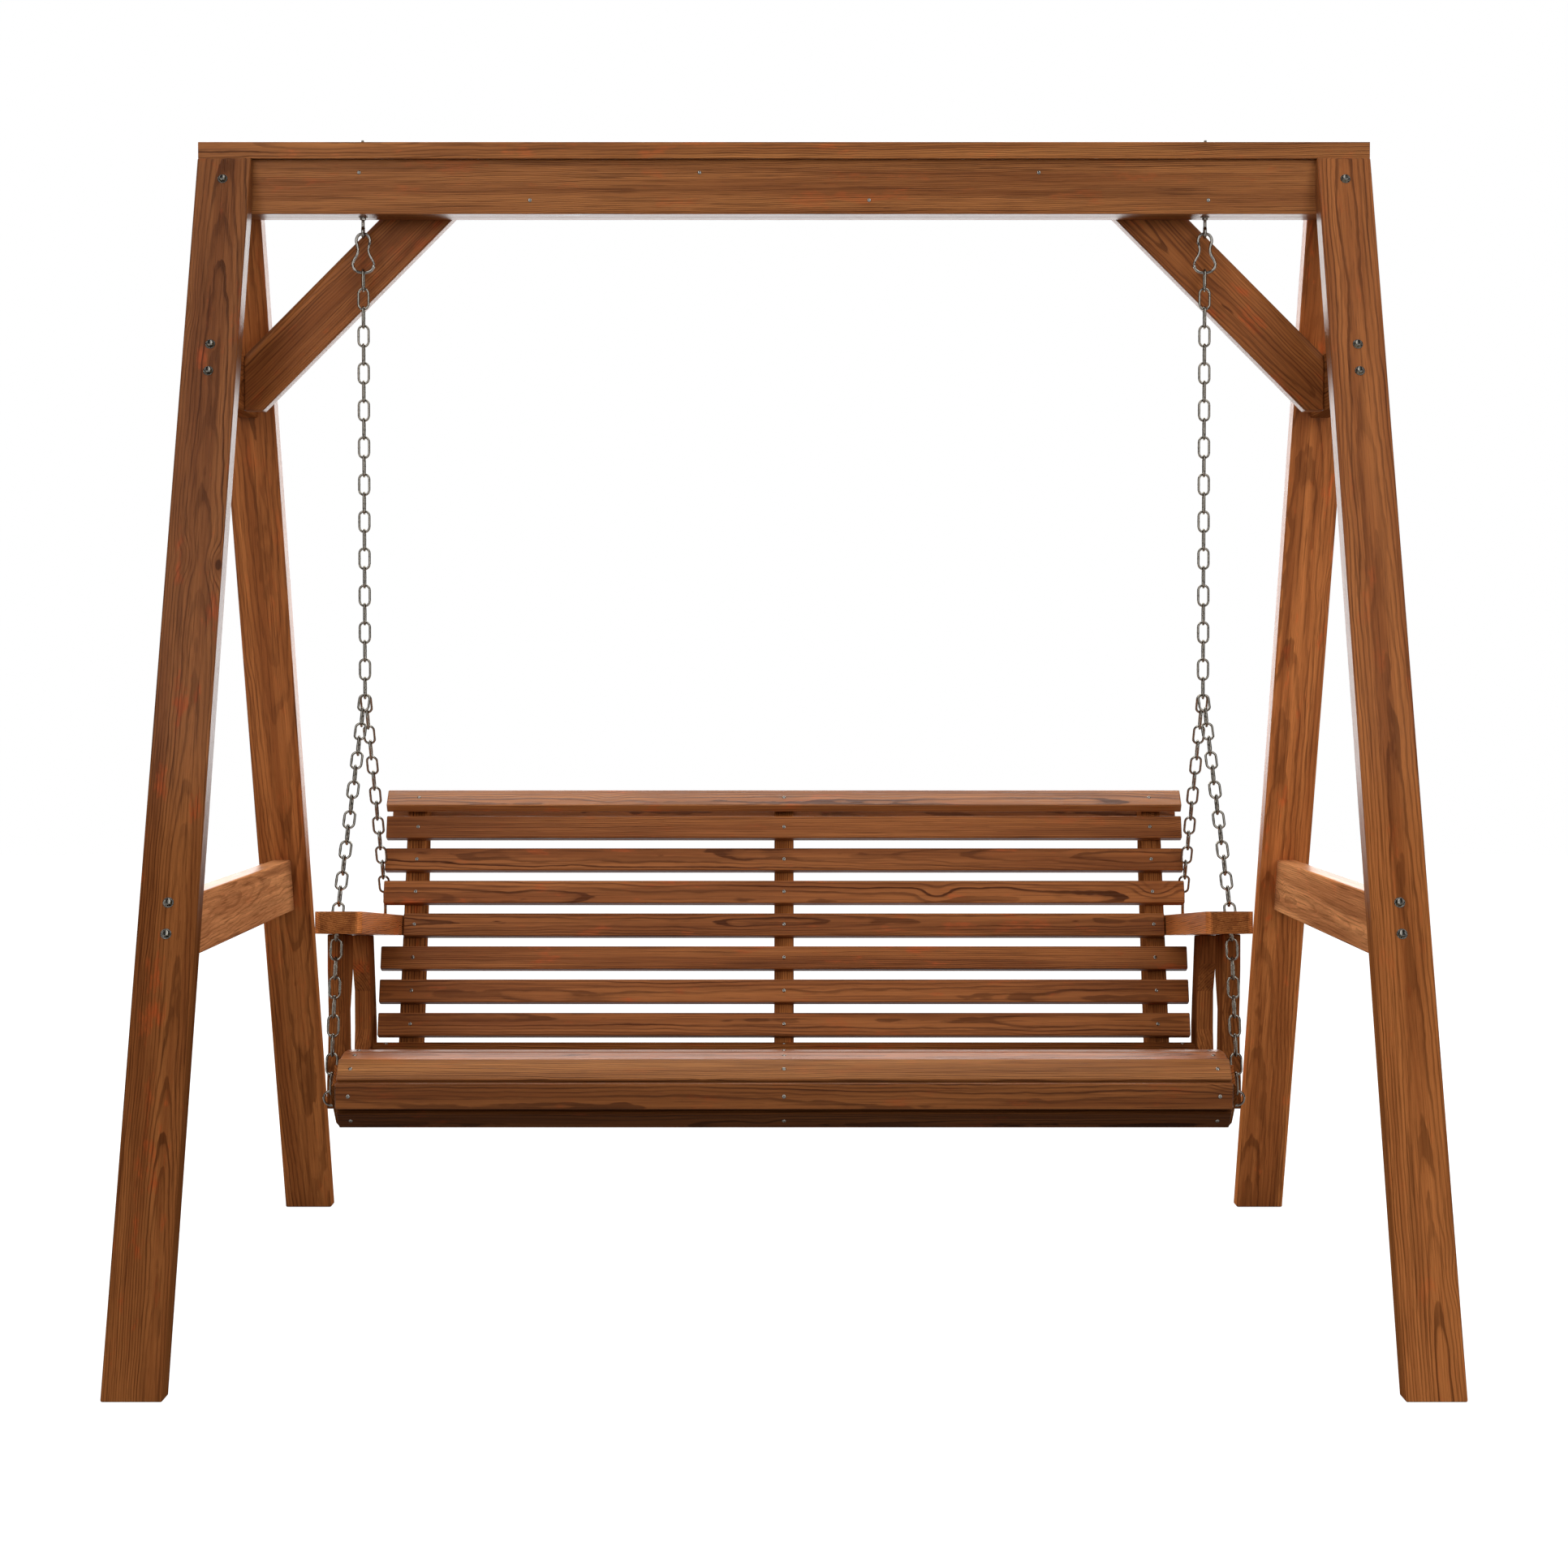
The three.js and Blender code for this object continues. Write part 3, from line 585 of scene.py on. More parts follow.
def board_shine(g, place, name):
    shine = by_ending(name, SHINE, COMMON_SHINE)
    if name.endswith("leg"):
        height = g.split(place.outputs["Object"])[2]
        return g.times(g.math("POWER", g.span(height, *WORN_LEG), 4.0), shine)
    if name.endswith("lower_rail"):
        upward = g.split(place.outputs["Normal"])[2]
        return g.span(upward, *SQUARE_ON, shine, RAIL_TOP_SHINE)
    return shine


def board_material(name, along, show, centre, rng, narrow):
    """Softwood for one board: along is its length and show the outward direction of its show face."""
    along = along.normalized()
    show = show.normalized()
    turn = Matrix((along, show.cross(along), show))
    start, strays = cut_from_log(name, narrow, rng)
    ring = rng.uniform(*(NARROW_CUT if narrow else WIDE_CUT)["ring"])
    # Painted light and shade from the tables above scale this board's colour, and the tint adds a painted
    # reflection veil.
    tone_and_light = rng.uniform(*TONE_RANGE) * BOARD_TONE_AND_PAINTED_LIGHT.get(name, 1.0)
    red = rng.uniform(*RED_RANGE) * by_ending(name, REDNESS, 1.0)

    material, g, shader = new_material(f"wood_{name}")
    place = g.node("TexCoord")
    facing = g.node("VectorMath", operation="DOT_PRODUCT")
    g.feed(facing.inputs[0], place.outputs["Normal"])
    facing.inputs[1].default_value = along
    wood = g.node("Group", node_tree=SOFTWOOD)
    g.feed(wood.inputs["Board"], board_frame(g, place, centre, turn, start, strays))
    g.feed(wood.inputs["End"], g.span(g.math("ABSOLUTE", facing.outputs["Value"]), *SQUARE_ON))
    wood.inputs["Ring"].default_value = ring
    wood.inputs["ToneAndLight"].default_value = (*(tone_and_light * share for share in PAINTED_VEIL_TINTS.get(name, (1, 1, 1))), 1)
    wood.inputs["Red"].default_value = red
    wood.inputs["Grain"].default_value = by_ending(name, GRAIN, 1.0)
    g.feed(shader.inputs["Base Color"], wood.outputs["Color"])
    g.feed(shader.inputs["Roughness"], wood.outputs["Roughness"])
    g.feed(shader.inputs["Normal"], g.bump(wood.outputs["Height"], *WOOD_BUMP))
    g.feed(shader.inputs["Specular IOR Level"], board_shine(g, place, name))
    return material


# Noise of the spots and of the drawing marks on steel: cells a metre, detail and roughness.
SPOT_NOISE = ((260, 260, 260), 4, 0.65)
MARK_NOISE = ((2200, 2200, 900), 3, 0.5)
SPOT_EDGES = (0.48, 0.68)
SPOT_BRIGHTNESS = 0.45
SPOT_ROUGHNESS = 0.14
MARK_ROUGHNESS = 0.06


def steel_material(name, colour, roughness, stain):
    """Plated steel with faint drawing marks and small dull spots."""
    material, g, shader = new_material(name)
    place = g.node("TexCoord").outputs["Object"]
    spots = g.span(g.noise(place, *SPOT_NOISE).outputs[0], *SPOT_EDGES)
    marks = g.noise(place, *MARK_NOISE).outputs[0]
    dull = tuple(channel * SPOT_BRIGHTNESS for channel in colour)
    g.feed(shader.inputs["Base Color"], g.mix(g.times(spots, stain), colour, dull))
    spot_rough = g.times(spots, SPOT_ROUGHNESS)
    rough = g.plus(spot_rough, g.times(marks, MARK_ROUGHNESS))
    g.feed(shader.inputs["Roughness"], g.plus(rough, roughness))
    g.feed(shader.inputs["Normal"], g.bump(marks, *STEEL_BUMP))
    shader.inputs["Metallic"].default_value = 1.0
    shader.inputs["Specular Tint"].default_value = (*EDGE_STEEL, 1)
    return material


CHAIN_METAL = steel_material("chain_metal", CHAIN_STEEL, roughness=0.09, stain=0.75)
FIXING_METAL = steel_material("fixing_metal", BRIGHT_STEEL, roughness=0.14, stain=0.50)
HEAD_METAL = steel_material("bolt_head_metal", DARK_STEEL, roughness=0.16, stain=0.40)


# ---- Timber ----

def upright_lean(end):
    """Length direction of a leg on the front (-1) or rear (+1) of the stand."""
    return Vector((0, -end * LEG_LEAN, 1)).normalized()


def slat_normal(tilt_degrees):
    tilt = math.radians(tilt_degrees)
    return Vector((0, -math.sin(tilt), math.cos(tilt)))


BACK_NORMAL = slat_normal(90 - RECLINE_DEGREES)
BACK_UP = Vector((0, math.sin(RECLINE), math.cos(RECLINE)))
ARM_NORMAL = Vector((0, math.sin(ARM_SLOPE), math.cos(ARM_SLOPE)))


def board_directions():
    """For each timber node: its length direction and its show face's outward direction."""
    table = {"beam_front_board": (X, -Y), "beam_rear_board": (X, Y), "cap_board": (X, Z)}
    for word, side in SIDES:
        outward = Vector((side, 0, 0))
        for end, where in ((-1, "front"), (1, "rear")):
            face = Vector((0, end, LEG_LEAN))
            table[f"{word}_{where}_leg"] = (upright_lean(end), face)
        table[f"{word}_lower_rail"] = (Y, -outward)
        table[f"{word}_upper_rail"] = (Y, -outward)
        table[f"{word}_knee_brace"] = (Vector((-side, 0, 1)), -Y)
        table[f"{word}_seat_rail"] = (Y, outward)
        table[f"{word}_back_rib"] = (BACK_UP, outward)
        table[f"{word}_armrest"] = (Vector((0, math.cos(ARM_SLOPE), -math.sin(ARM_SLOPE))), ARM_NORMAL)
        table[f"{word}_front_arm_post"] = (Z, outward)
        table[f"{word}_rear_arm_post"] = (Z, outward)
    table["centre_seat_rail"] = (Y, X)
    table["centre_back_rib"] = (BACK_UP, X)
    for name, (_, _, tilt) in SEAT_FACES.items():
        table[name] = (X, slat_normal(tilt))
    for number in range(1, BACK_SLAT_COUNT + 1):
        table[f"back_slat_{number}"] = (X, BACK_NORMAL)
    table["back_cap_slat"] = (X, slat_normal(CAP_SLAT[2]))
    table["back_top_rail"] = (X, -BACK_NORMAL)
    return table


MERGE_REACH = 0.00002
FLAT_ANGLE = math.radians(0.6)
ARRIS_ANGLE = math.radians(28)
ARRIS_SEGMENTS = 3
NARROW_ARRIS = 0.0022
WIDE_ARRIS = 0.0028
FIRST_SEED = 4100
SEED_STEP = 17


def ease_edges(board, width):
    """Merges split corners, clears flat triangles and rounds the board's arrises."""
    weld = board.modifiers.new("weld", "WELD")
    weld.merge_threshold = MERGE_REACH
    flat = board.modifiers.new("flat", "DECIMATE")
    flat.decimate_type = "DISSOLVE"
    flat.angle_limit = FLAT_ANGLE
    bevel = board.modifiers.new("eased", "BEVEL")
    bevel.width = width
    bevel.segments = ARRIS_SEGMENTS
    bevel.limit_method = "ANGLE"
    bevel.angle_limit = ARRIS_ANGLE
    bevel.use_clamp_overlap = True


def is_narrow(name):
    return "slat" in name or "roll" in name or "post" in name or name == "back_top_rail"


def dress_timber():
    for index, (name, (along, show)) in enumerate(sorted(board_directions().items())):
        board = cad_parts[name]
        low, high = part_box(name)
        rng = random.Random(FIRST_SEED + SEED_STEP * index)
        material = board_material(name, along, show, (low + high) / 2, rng, is_narrow(name))
        board.data.materials.clear()
        board.data.materials.append(material)
        ease_edges(board, NARROW_ARRIS if is_narrow(name) else WIDE_ARRIS)


# ---- Steel pieces ----

# The domed ends of a wire: how far out they reach and how thick their tips are, as shares of its radius.
DOME_REACH = 0.97
DOME_TIP = 0.12
DOME_STEPS = 3
# Crease angles, in degrees.
EYE_CREASE = 40
NUT_CREASE = 30
SCREW_CREASE = 35
# How many sides stand for a circle.
LINK_SIDES = 10
EYE_SIDES = 14
HOOK_SIDES = 16
ROD_SIDES = 20
DISC_SIDES = 32
HEX_SIDES = 48
EYE_POINTS = 40
FLOOR_SIDES = 96


def new_piece(name, mesh_builder, body, metal):
    """Makes a mesh object from a bmesh filled by mesh_builder and rides it on a body."""
    bm = bmesh.new()
    mesh_builder(bm)
    bmesh.ops.recalc_face_normals(bm, faces=bm.faces)
    mesh = bpy.data.meshes.new(name)
    bm.to_mesh(mesh)
    bm.free()
    mesh.materials.append(metal)
    piece = new_object(name, mesh)
    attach(piece, body)
    return piece


def hardware(name, mesh_builder, body, crease, metal=FIXING_METAL):
    """A steel piece with smooth shading, where corners sharper than the crease angle stay crisp."""
    piece = new_piece(name, mesh_builder, body, metal)
    piece.data.shade_smooth()
    piece.data.set_sharp_from_angle(angle=math.radians(crease))
    return piece


def add_tube(bm, points, radii, closed, across, sides):
    """A round wire along a flat line of points. across is the direction square to the line's plane."""
    count = len(points)
    rings = []
    for index, point in enumerate(points):
        before = points[index - 1] if closed or index > 0 else point
        after = points[(index + 1) % count] if closed or index < count - 1 else point
        along = (after - before).normalized()
        outward = along.cross(across).normalized()
        radius = radii[index]
        ring = []
        for step in range(sides):
            angle = 2 * math.pi * step / sides
            offset = outward * math.cos(angle) * radius + across * math.sin(angle) * radius
            ring.append(bm.verts.new(point + offset))
        rings.append(ring)
    last = count if closed else count - 1
    for index in range(last):
        here = rings[index]
        there = rings[(index + 1) % count]
        for step in range(sides):
            after = (step + 1) % sides
            bm.faces.new((here[step], here[after], there[after], there[step]))
    if not closed:
        bm.faces.new(rings[0])
        bm.faces.new(rings[-1])


def rounded_ends(points, radius):
    """Extra points and radii that close a wire's two ends with domes."""
    start = (points[0] - points[1]).normalized()
    finish = (points[-1] - points[-2]).normalized()
    head, tail = [], []
    for step in range(DOME_STEPS, 0, -1):
        angle = 0.5 * math.pi * step / DOME_STEPS
        reach = radius * math.sin(angle) * DOME_REACH
        thin = max(radius * math.cos(angle), radius * DOME_TIP)
        head.append((points[0] + start * reach, thin))
        tail.insert(0, (points[-1] + finish * reach, thin))
    middle = [(point, radius) for point in points]
    whole = head + middle + tail
    return [point for point, _ in whole], [thick for _, thick in whole]


def square_to(axis):
    """The axis at length 1, and two directions square to it and to each other."""
    axis = axis.normalized()
    right = axis.orthogonal().normalized()
    return axis, right, axis.cross(right)


def add_lathe(bm, profile, origin, axis, sides):
    """Turns (radius, height) points about an axis through origin. A radius of 0 closes the shape."""
    axis, right, ahead = square_to(axis)
    rings = []
    for radius, height in profile:
        middle = origin + axis * height
        if radius == 0:
            rings.append([bm.verts.new(middle)])
            continue
        rings.append([bm.verts.new(point) for point in circle_points(middle, radius, right, ahead, sides)])
    join_rings(bm, rings, sides)


def circle_points(middle, radius, first, second, count):
    """A round of points in the plane of two square directions."""
    made = []
    for step in range(count):
        angle = 2 * math.pi * step / count
        made.append(middle + (first * math.cos(angle) + second * math.sin(angle)) * radius)
    return made


def join_rings(bm, rings, sides):
    for here, there in zip(rings, rings[1:]):
        for step in range(sides):
            after = (step + 1) % sides
            if len(here) == 1:
                bm.faces.new((here[0], there[step], there[after]))
            elif len(there) == 1:
                bm.faces.new((here[step], here[after], there[0]))
            else:
                bm.faces.new((here[step], here[after], there[after], there[step]))


def add_disc(bm, origin, axis, radius, low, high, inset, chamfer, sides):
    """A solid disc or pin between two heights, with its edges broken by inset across and chamfer along."""
    profile = ((0, low), (radius - inset, low), (radius, low + chamfer), (radius, high - chamfer),
               (radius - inset, high), (0, high))
    add_lathe(bm, profile, origin, axis, sides)


def add_washer(bm, origin, axis, radius, thickness=WASHER_THICKNESS):
    add_disc(bm, origin, axis, radius, 0, thickness, WASHER_EDGE, WASHER_EDGE, DISC_SIDES)


def add_pin(bm, middle, pin):
    half = pin["half"]
    add_disc(bm, middle, Y, pin["radius"], -half, half, pin["inset"], pin["chamfer"], pin["sides"])


def add_hex(bm, origin, axis, across_flats, height, bore=0.0):
    """A hexagon head or nut: six flats under a turned chamfer, with an open bore when one is given."""
    axis, right, ahead = square_to(axis)
    flat = across_flats / 2
    corner = across_flats / math.sqrt(3)

    def ring(at, limit):
        made = []
        for step in range(HEX_SIDES):
            angle = 2 * math.pi * step / HEX_SIDES
            sector = (angle + math.pi / 6) % (math.pi / 3) - math.pi / 6
            reach = min(flat / math.cos(sector), limit)
            point = (right * math.cos(angle) + ahead * math.sin(angle)) * reach
            made.append(bm.verts.new(origin + point + axis * at))
        return made

    rings = [
        [bm.verts.new(origin)],
        ring(0, corner * HEX_TURNED),
        ring(HEX_FOOT, corner),
        ring(height - HEX_SHOULDER, corner),
        ring(height - HEX_EDGE, corner * HEX_TURNED),
        ring(height, flat * HEX_TURNED),
    ]
    if bore:
        floor = height - BORE_DEPTH
        rings.append(ring(height, bore))
        rings.append(ring(floor, bore * BORE_TAPER))
    else:
        floor = height - DIMPLE_DEPTH
        rings.append(ring(floor, flat * DIMPLE_SHARE))
    rings.append([bm.verts.new(origin + axis * floor)])
    join_rings(bm, rings, HEX_SIDES)


# Rings of a screw head from its base to the foot of its recess: height, share of the radius, and how far the
# ring is pulled into a cross.
SCREW_RINGS = (
    (0, 1, 0), (0.0006, 0.98, 0), (0.0012, 0.85, 0),
    (0.0016, 0.62, 0), (0.00165, 0.55, 0.62), (0.0008, 0.42, 0.66),
)
NAME_SEED = 31
SCREW_RADIUS = 0.0034
RECESS_FLOOR = 0.0005


def add_screw(bm, origin, axis, turn):
    """A domed screw head with a cross recess."""
    axis, right, ahead = square_to(axis)
    rings = [[bm.verts.new(origin)]]
    for height, share, lobes in SCREW_RINGS:
        ring = []
        for step in range(DISC_SIDES):
            angle = 2 * math.pi * step / DISC_SIDES + turn
            spread = SCREW_RADIUS * share * (1 - lobes + lobes * abs(math.cos(2 * (angle - turn))) ** 3)
            offset = (right * math.cos(angle) + ahead * math.sin(angle)) * spread
            ring.append(bm.verts.new(origin + offset + axis * height))
        rings.append(ring)
    rings.append([bm.verts.new(origin + axis * RECESS_FLOOR)])
    join_rings(bm, rings, DISC_SIDES)


def add_bolt_head(bm, origin, axis):
    add_hex(bm, origin + axis.normalized() * WASHER_THICKNESS, axis, BOLT_FLATS, BOLT_HEAD_HEIGHT)


def add_thread(bm, origin, axis, length):
    """A threaded rod end: a crest and a root every pitch, and a chamfered tip."""
    root = BOLT_RADIUS * THREAD_ROOT
    profile = [(0, 0), (root, 0)]
    height = 0.0
    while height + THREAD_PITCH < length - TIP_LENGTH:
        profile.append((BOLT_RADIUS, height + THREAD_PITCH * THREAD_CREST))
        profile.append((root, height + THREAD_PITCH))
        height += THREAD_PITCH
    profile += [(BOLT_RADIUS * THREAD_TIP, length), (0, length)]
    add_lathe(bm, profile, origin, axis, ROD_SIDES)


# ---- Chain ----

def link_path(pitch):
    """Centre line of one link in its own plane, its length along Y: a stadium with round ends."""
    half_wide = LINK_WIDTH / 2 - LINK_WIRE_RADIUS
    half_long = (pitch - LINK_OVERLAP) / 2 + LINK_WIRE_RADIUS
    straight = half_long - half_wide
    points = []
    for turn, middle in ((0, straight), (math.pi, -straight)):
        for step in range(LINK_ARC_STEPS + 1):
            angle = turn + math.pi * step / LINK_ARC_STEPS
            points.append((half_wide * math.cos(angle), middle + half_wide * math.sin(angle)))
        sign = -1 if turn == 0 else 1
        for share in STRAIGHT_SHARES:
            points.append((sign * half_wide, sign * -straight * share))
    return points


def add_link(bm, start, finish, face_on):
    along = (finish - start).normalized()
    in_plane = along.cross(X).normalized()
    sideways = in_plane.cross(along).normalized()
    wide = sideways if face_on else in_plane
    thick = wide.cross(along).normalized()
    middle = (start + finish) / 2
    pitch = (finish - start).length
    points = []
    radii = []
    for x, y in link_path(pitch):
        points.append(middle + wide * x + along * y)
        on_weld = x < 0 and abs(y) < WELD_HALF
        radii.append(LINK_WIRE_RADIUS * (WELD_SWELL if on_weld else 1.0))
    add_tube(bm, points, radii, True, thick, LINK_SIDES)


def stations(route, count):
    """Points an equal step apart along a line of straight stretches."""
    lengths = [(b - a).length for a, b in zip(route, route[1:])]
    total = sum(lengths)
    made = []
    for index in range(count + 1):
        left = total * index / count
        for (a, b), length in zip(zip(route, route[1:]), lengths):
            if left <= length + 1e-9:
                made.append(a.lerp(b, min(left / length, 1.0)))
                break
            left -= length
    return made


def chain_piece(node, body, route, count, first_face_on):
    points = stations(route, count)

    def build(bm):
        for index in range(count):
            add_link(bm, points[index], points[index + 1], (index % 2 == 0) == first_face_on)

    piece = new_piece(f"{node}_links", build, body, CHAIN_METAL)
    piece.data.shade_smooth()
    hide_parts(node)


def arm_top(y):
    return ARM_FRONT_Z - math.tan(ARM_SLOPE) * (y - ARM_FRONT_Y)


def bench_point(x, y, z):
    return Vector((x, y + BENCH_Y, z))


def make_chains():
    inner = BENCH_EYE_RADIUS - BENCH_EYE_WIRE - EYE_SLACK
    for word, side in SIDES:
        top = Vector((side * HANG_X, 0, CHAIN_TOP_Z))
        junction = Vector((side * HANG_X, 0, JUNCTION_Z))
        chain_piece(f"{word}_upper_chain", f"{word}_hanger", (top, junction), UPPER_LINKS, False)
        front_start = junction + Vector((0, -JUNCTION_SPREAD, JUNCTION_SLACK))
        slot_z = arm_top(CHAIN_SLOT[1]) - CHAIN_BELOW
        in_slot = bench_point(side * CHAIN_SLOT[0], CHAIN_SLOT[1] - CHAIN_AHEAD, slot_z)
        front_end = bench_point(side * FRONT_EYE.x, FRONT_EYE.y, FRONT_EYE.z + inner)
        front_route = (front_start, in_slot, front_end)
        chain_piece(f"{word}_front_chain", "bench", front_route, FRONT_LINKS, True)
        rear_start = junction + Vector((0, JUNCTION_SPREAD, JUNCTION_SLACK))
        rear_eye = bench_point(side * REAR_EYE.x, REAR_EYE.y, REAR_EYE.z)
        pull = rear_start - rear_eye
        pull.x = 0
        rear_end = rear_eye + pull.normalized() * inner
        chain_piece(f"{word}_rear_chain", "bench", (rear_start, rear_end), REAR_LINKS, True)


# ---- Snap hooks and eyes ----

def hook_loop(gate_side):
    """Points an equal step apart round the pear-shaped hook, from its top down the gate's side, in metres."""
    right = [Vector((gate_side * x, 0, z)) for x, z in HOOK_HALF]
    left = [Vector((-gate_side * x, 0, z)) for x, z in reversed(HOOK_HALF)]
    knots = [Vector((0, 0, 0)), *right, Vector((0, 0, HOOK_BOTTOM)), *left]
    fine = []
    for index in range(len(knots)):
        a, b, c, d = (knots[(index + offset) % len(knots)] for offset in (-1, 0, 1, 2))
        for step in range(CURVE_STEPS):
            t = step / CURVE_STEPS
            point = 0.5 * ((2 * b) + (c - a) * t + (2 * a - 5 * b + 4 * c - d) * t * t
                           + (3 * b - a - 3 * c + d) * t ** 3)
            fine.append(point * MM)
    return stations(fine + [fine[0]], HOOK_POINTS)[:-1]


def make_snap_hook(word, side):
    gate_side = -side
    loop = hook_loop(gate_side)
    top = Vector((side * HANG_X, 0, HOOK_TOP_Z))
    loop = [point + top for point in loop]
    nose = int(HOOK_POINTS * (GATE_END + NOSE_GAP) + 1)
    hinge = int(HOOK_POINTS * (GATE_START - HINGE_LAP))
    body_points = [loop[index % HOOK_POINTS] for index in range(nose, HOOK_POINTS + hinge + 1)]
    gate_points = loop[int(HOOK_POINTS * (GATE_START + GATE_GAP)):int(HOOK_POINTS * GATE_END)]
    inward = Vector((side, 0, 0))

    def build_body(bm):
        points, radii = rounded_ends(body_points, HOOK_WIRE)
        for step in range(NOSE_POINTS):
            radii[DOME_STEPS + step] *= 1.0 + NOSE_SWELL * math.sin(math.pi * (step + 1) / (NOSE_POINTS + 2))
        add_tube(bm, points, radii, False, Y, HOOK_SIDES)
        add_pin(bm, loop[hinge], HINGE_PIN)

    def build_gate(bm):
        points, radii = rounded_ends(gate_points, GATE_WIRE)
        add_tube(bm, points, radii, False, Y, HOOK_SIDES)
        add_pin(bm, gate_points[LATCH_POINT] + inward * LATCH_SHIFT, LATCH_PIN)

    hook = hardware(f"{word}_hook_body", build_body, f"{word}_hanger", EYE_CREASE)
    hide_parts(f"{word}_snap_hook")
    gate = hardware(f"{word}_gate_wire", build_gate, f"{word}_gate", EYE_CREASE)
    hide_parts(f"{word}_hook_gate")


def make_beam_eye(word, side):
    middle = Vector((side * HANG_X, 0, EYE_Z))
    shank_base = middle + Z * (EYE_RADIUS - EYE_WIRE * NECK_LAP)

    def build_eye(bm):
        ring = circle_points(middle, EYE_RADIUS, Y, Z, EYE_POINTS)
        add_tube(bm, ring, [EYE_WIRE] * len(ring), True, X, EYE_SIDES)
        neck = CAP_TOP - POCKET_DEPTH - shank_base.z
        collar = ((0, 0), (BOLT_RADIUS * 1.25, 0), (BOLT_RADIUS * 1.1, 0.002), (BOLT_RADIUS, 0.004),
                  (BOLT_RADIUS, neck), (0, neck))
        add_lathe(bm, collar, shank_base, Z, ROD_SIDES)
        stub_from = Vector((middle.x, 0, CAP_TOP - POCKET_DEPTH))
        add_thread(bm, stub_from, Z, BOLT_TOP - stub_from.z)

    def build_nuts(bm):
        add_washer(bm, Vector((middle.x, 0, BEAM_BOTTOM)), -Z, BEAM_WASHER)
        nut_top = Vector((middle.x, 0, BEAM_BOTTOM - WASHER_THICKNESS))
        add_hex(bm, nut_top, -Z, NUT_FLATS, BEAM_NUT_HEIGHT, BOLT_RADIUS)
        pocket = Vector((middle.x, 0, CAP_TOP - POCKET_DEPTH))
        add_washer(bm, pocket, Z, POCKET_WASHER)
        add_hex(bm, pocket + Z * WASHER_THICKNESS, Z, NUT_FLATS, POCKET_NUT_HEIGHT, BOLT_RADIUS)

    eye = hardware(f"{word}_beam_eye", build_eye, "frame", EYE_CREASE)
    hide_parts(f"{word}_beam_eye_bolt")
    hardware(f"{word}_beam_eye_nuts", build_nuts, "frame", NUT_CREASE)


def make_bench_eyes(word, side):
    front = bench_point(side * FRONT_EYE.x, FRONT_EYE.y, FRONT_EYE.z)
    rear = bench_point(side * REAR_EYE.x, REAR_EYE.y, REAR_EYE.z)
    outward = Vector((side, 0, 0))

    def build_front(bm):
        ring = circle_points(front, BENCH_EYE_RADIUS, X, Z, EYE_POINTS)
        add_tube(bm, ring, [BENCH_EYE_WIRE] * len(ring), True, Y, EYE_SIDES)
        base = Vector((side * FRONT_EYE_TIP_X, front.y, front.z))
        length = abs(front.x) - BENCH_EYE_RADIUS - FRONT_EYE_TIP_X + SHANK_LAP
        shank = ((0, 0), (BOLT_RADIUS, 0), (BOLT_RADIUS, length), (0, length))
        add_lathe(bm, shank, base, outward, ROD_SIDES)
        face = Vector((side * SEAT_RAIL_OUTER_X, front.y, front.z))
        add_washer(bm, face, outward, FRONT_EYE_WASHER, FRONT_EYE_WASHER_THICKNESS)

    def build_rear(bm):
        ring = circle_points(rear, BENCH_EYE_RADIUS, Y, Z, EYE_POINTS)
        add_tube(bm, ring, [BENCH_EYE_WIRE] * len(ring), True, X, EYE_SIDES)
        base = Vector((rear.x, rear.y, arm_top(REAR_EYE.y) - REAR_EYE_DEPTH))
        length = rear.z - BENCH_EYE_RADIUS - base.z + SHANK_LAP
        shank = ((0, 0), (BOLT_RADIUS * 0.8, 0), (BOLT_RADIUS, 0.0008), (BOLT_RADIUS, length), (0, length))
        add_lathe(bm, shank, base, Z, ROD_SIDES)

    def build_rear_washer(bm):
        top = Vector((rear.x, rear.y, arm_top(REAR_EYE.y)))
        add_washer(bm, top, ARM_NORMAL, REAR_EYE_WASHER)

    for build, where in ((build_front, "front"), (build_rear, "rear")):
        eye = hardware(f"{word}_{where}_eye", build, "bench", EYE_CREASE)
        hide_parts(f"{word}_{where}_bench_eye")
    hardware(f"{word}_rear_eye_washer", build_rear_washer, "bench", NUT_CREASE)


# ---- Bolts and screws ----

def leg_face(end, z):
    return end * (FOOT_Y - LEG_LEAN * z)


def make_leg_bolts(word, side):
    for end, where in ((-1, "front"), (1, "rear")):
        normal = Vector((0, end, LEG_LEAN)).normalized()
        places = [Vector((side * LEG_MIDDLE_X, leg_face(end, z), z)) for z in LEG_BOLT_Z]

        def build_washers(bm):
            for place in places:
                add_washer(bm, place, normal, LEG_WASHER)

        def build_heads(bm):
            for place in places:
                add_bolt_head(bm, place, normal)

        hardware(f"{word}_{where}_leg_washers", build_washers, "frame", NUT_CREASE)
        hardware(f"{word}_{where}_leg_bolts", build_heads, "frame", NUT_CREASE, HEAD_METAL)


def screws(name, body, places):
    """One piece for a row of screws: places are (point, outward direction)."""
    rng = random.Random(len(name) * NAME_SEED + len(places))

    def build(bm):
        for point, axis in places:
            add_screw(bm, point, axis, rng.uniform(0, math.pi))

    hardware(name, build, body, SCREW_CREASE)


def back_point(up):
    """The (y, z) of a point on the back's front face, a distance up the slope from its foot."""
    return BACK_FOOT[0] + up * math.sin(RECLINE), BACK_FOOT[1] + up * math.cos(RECLINE)


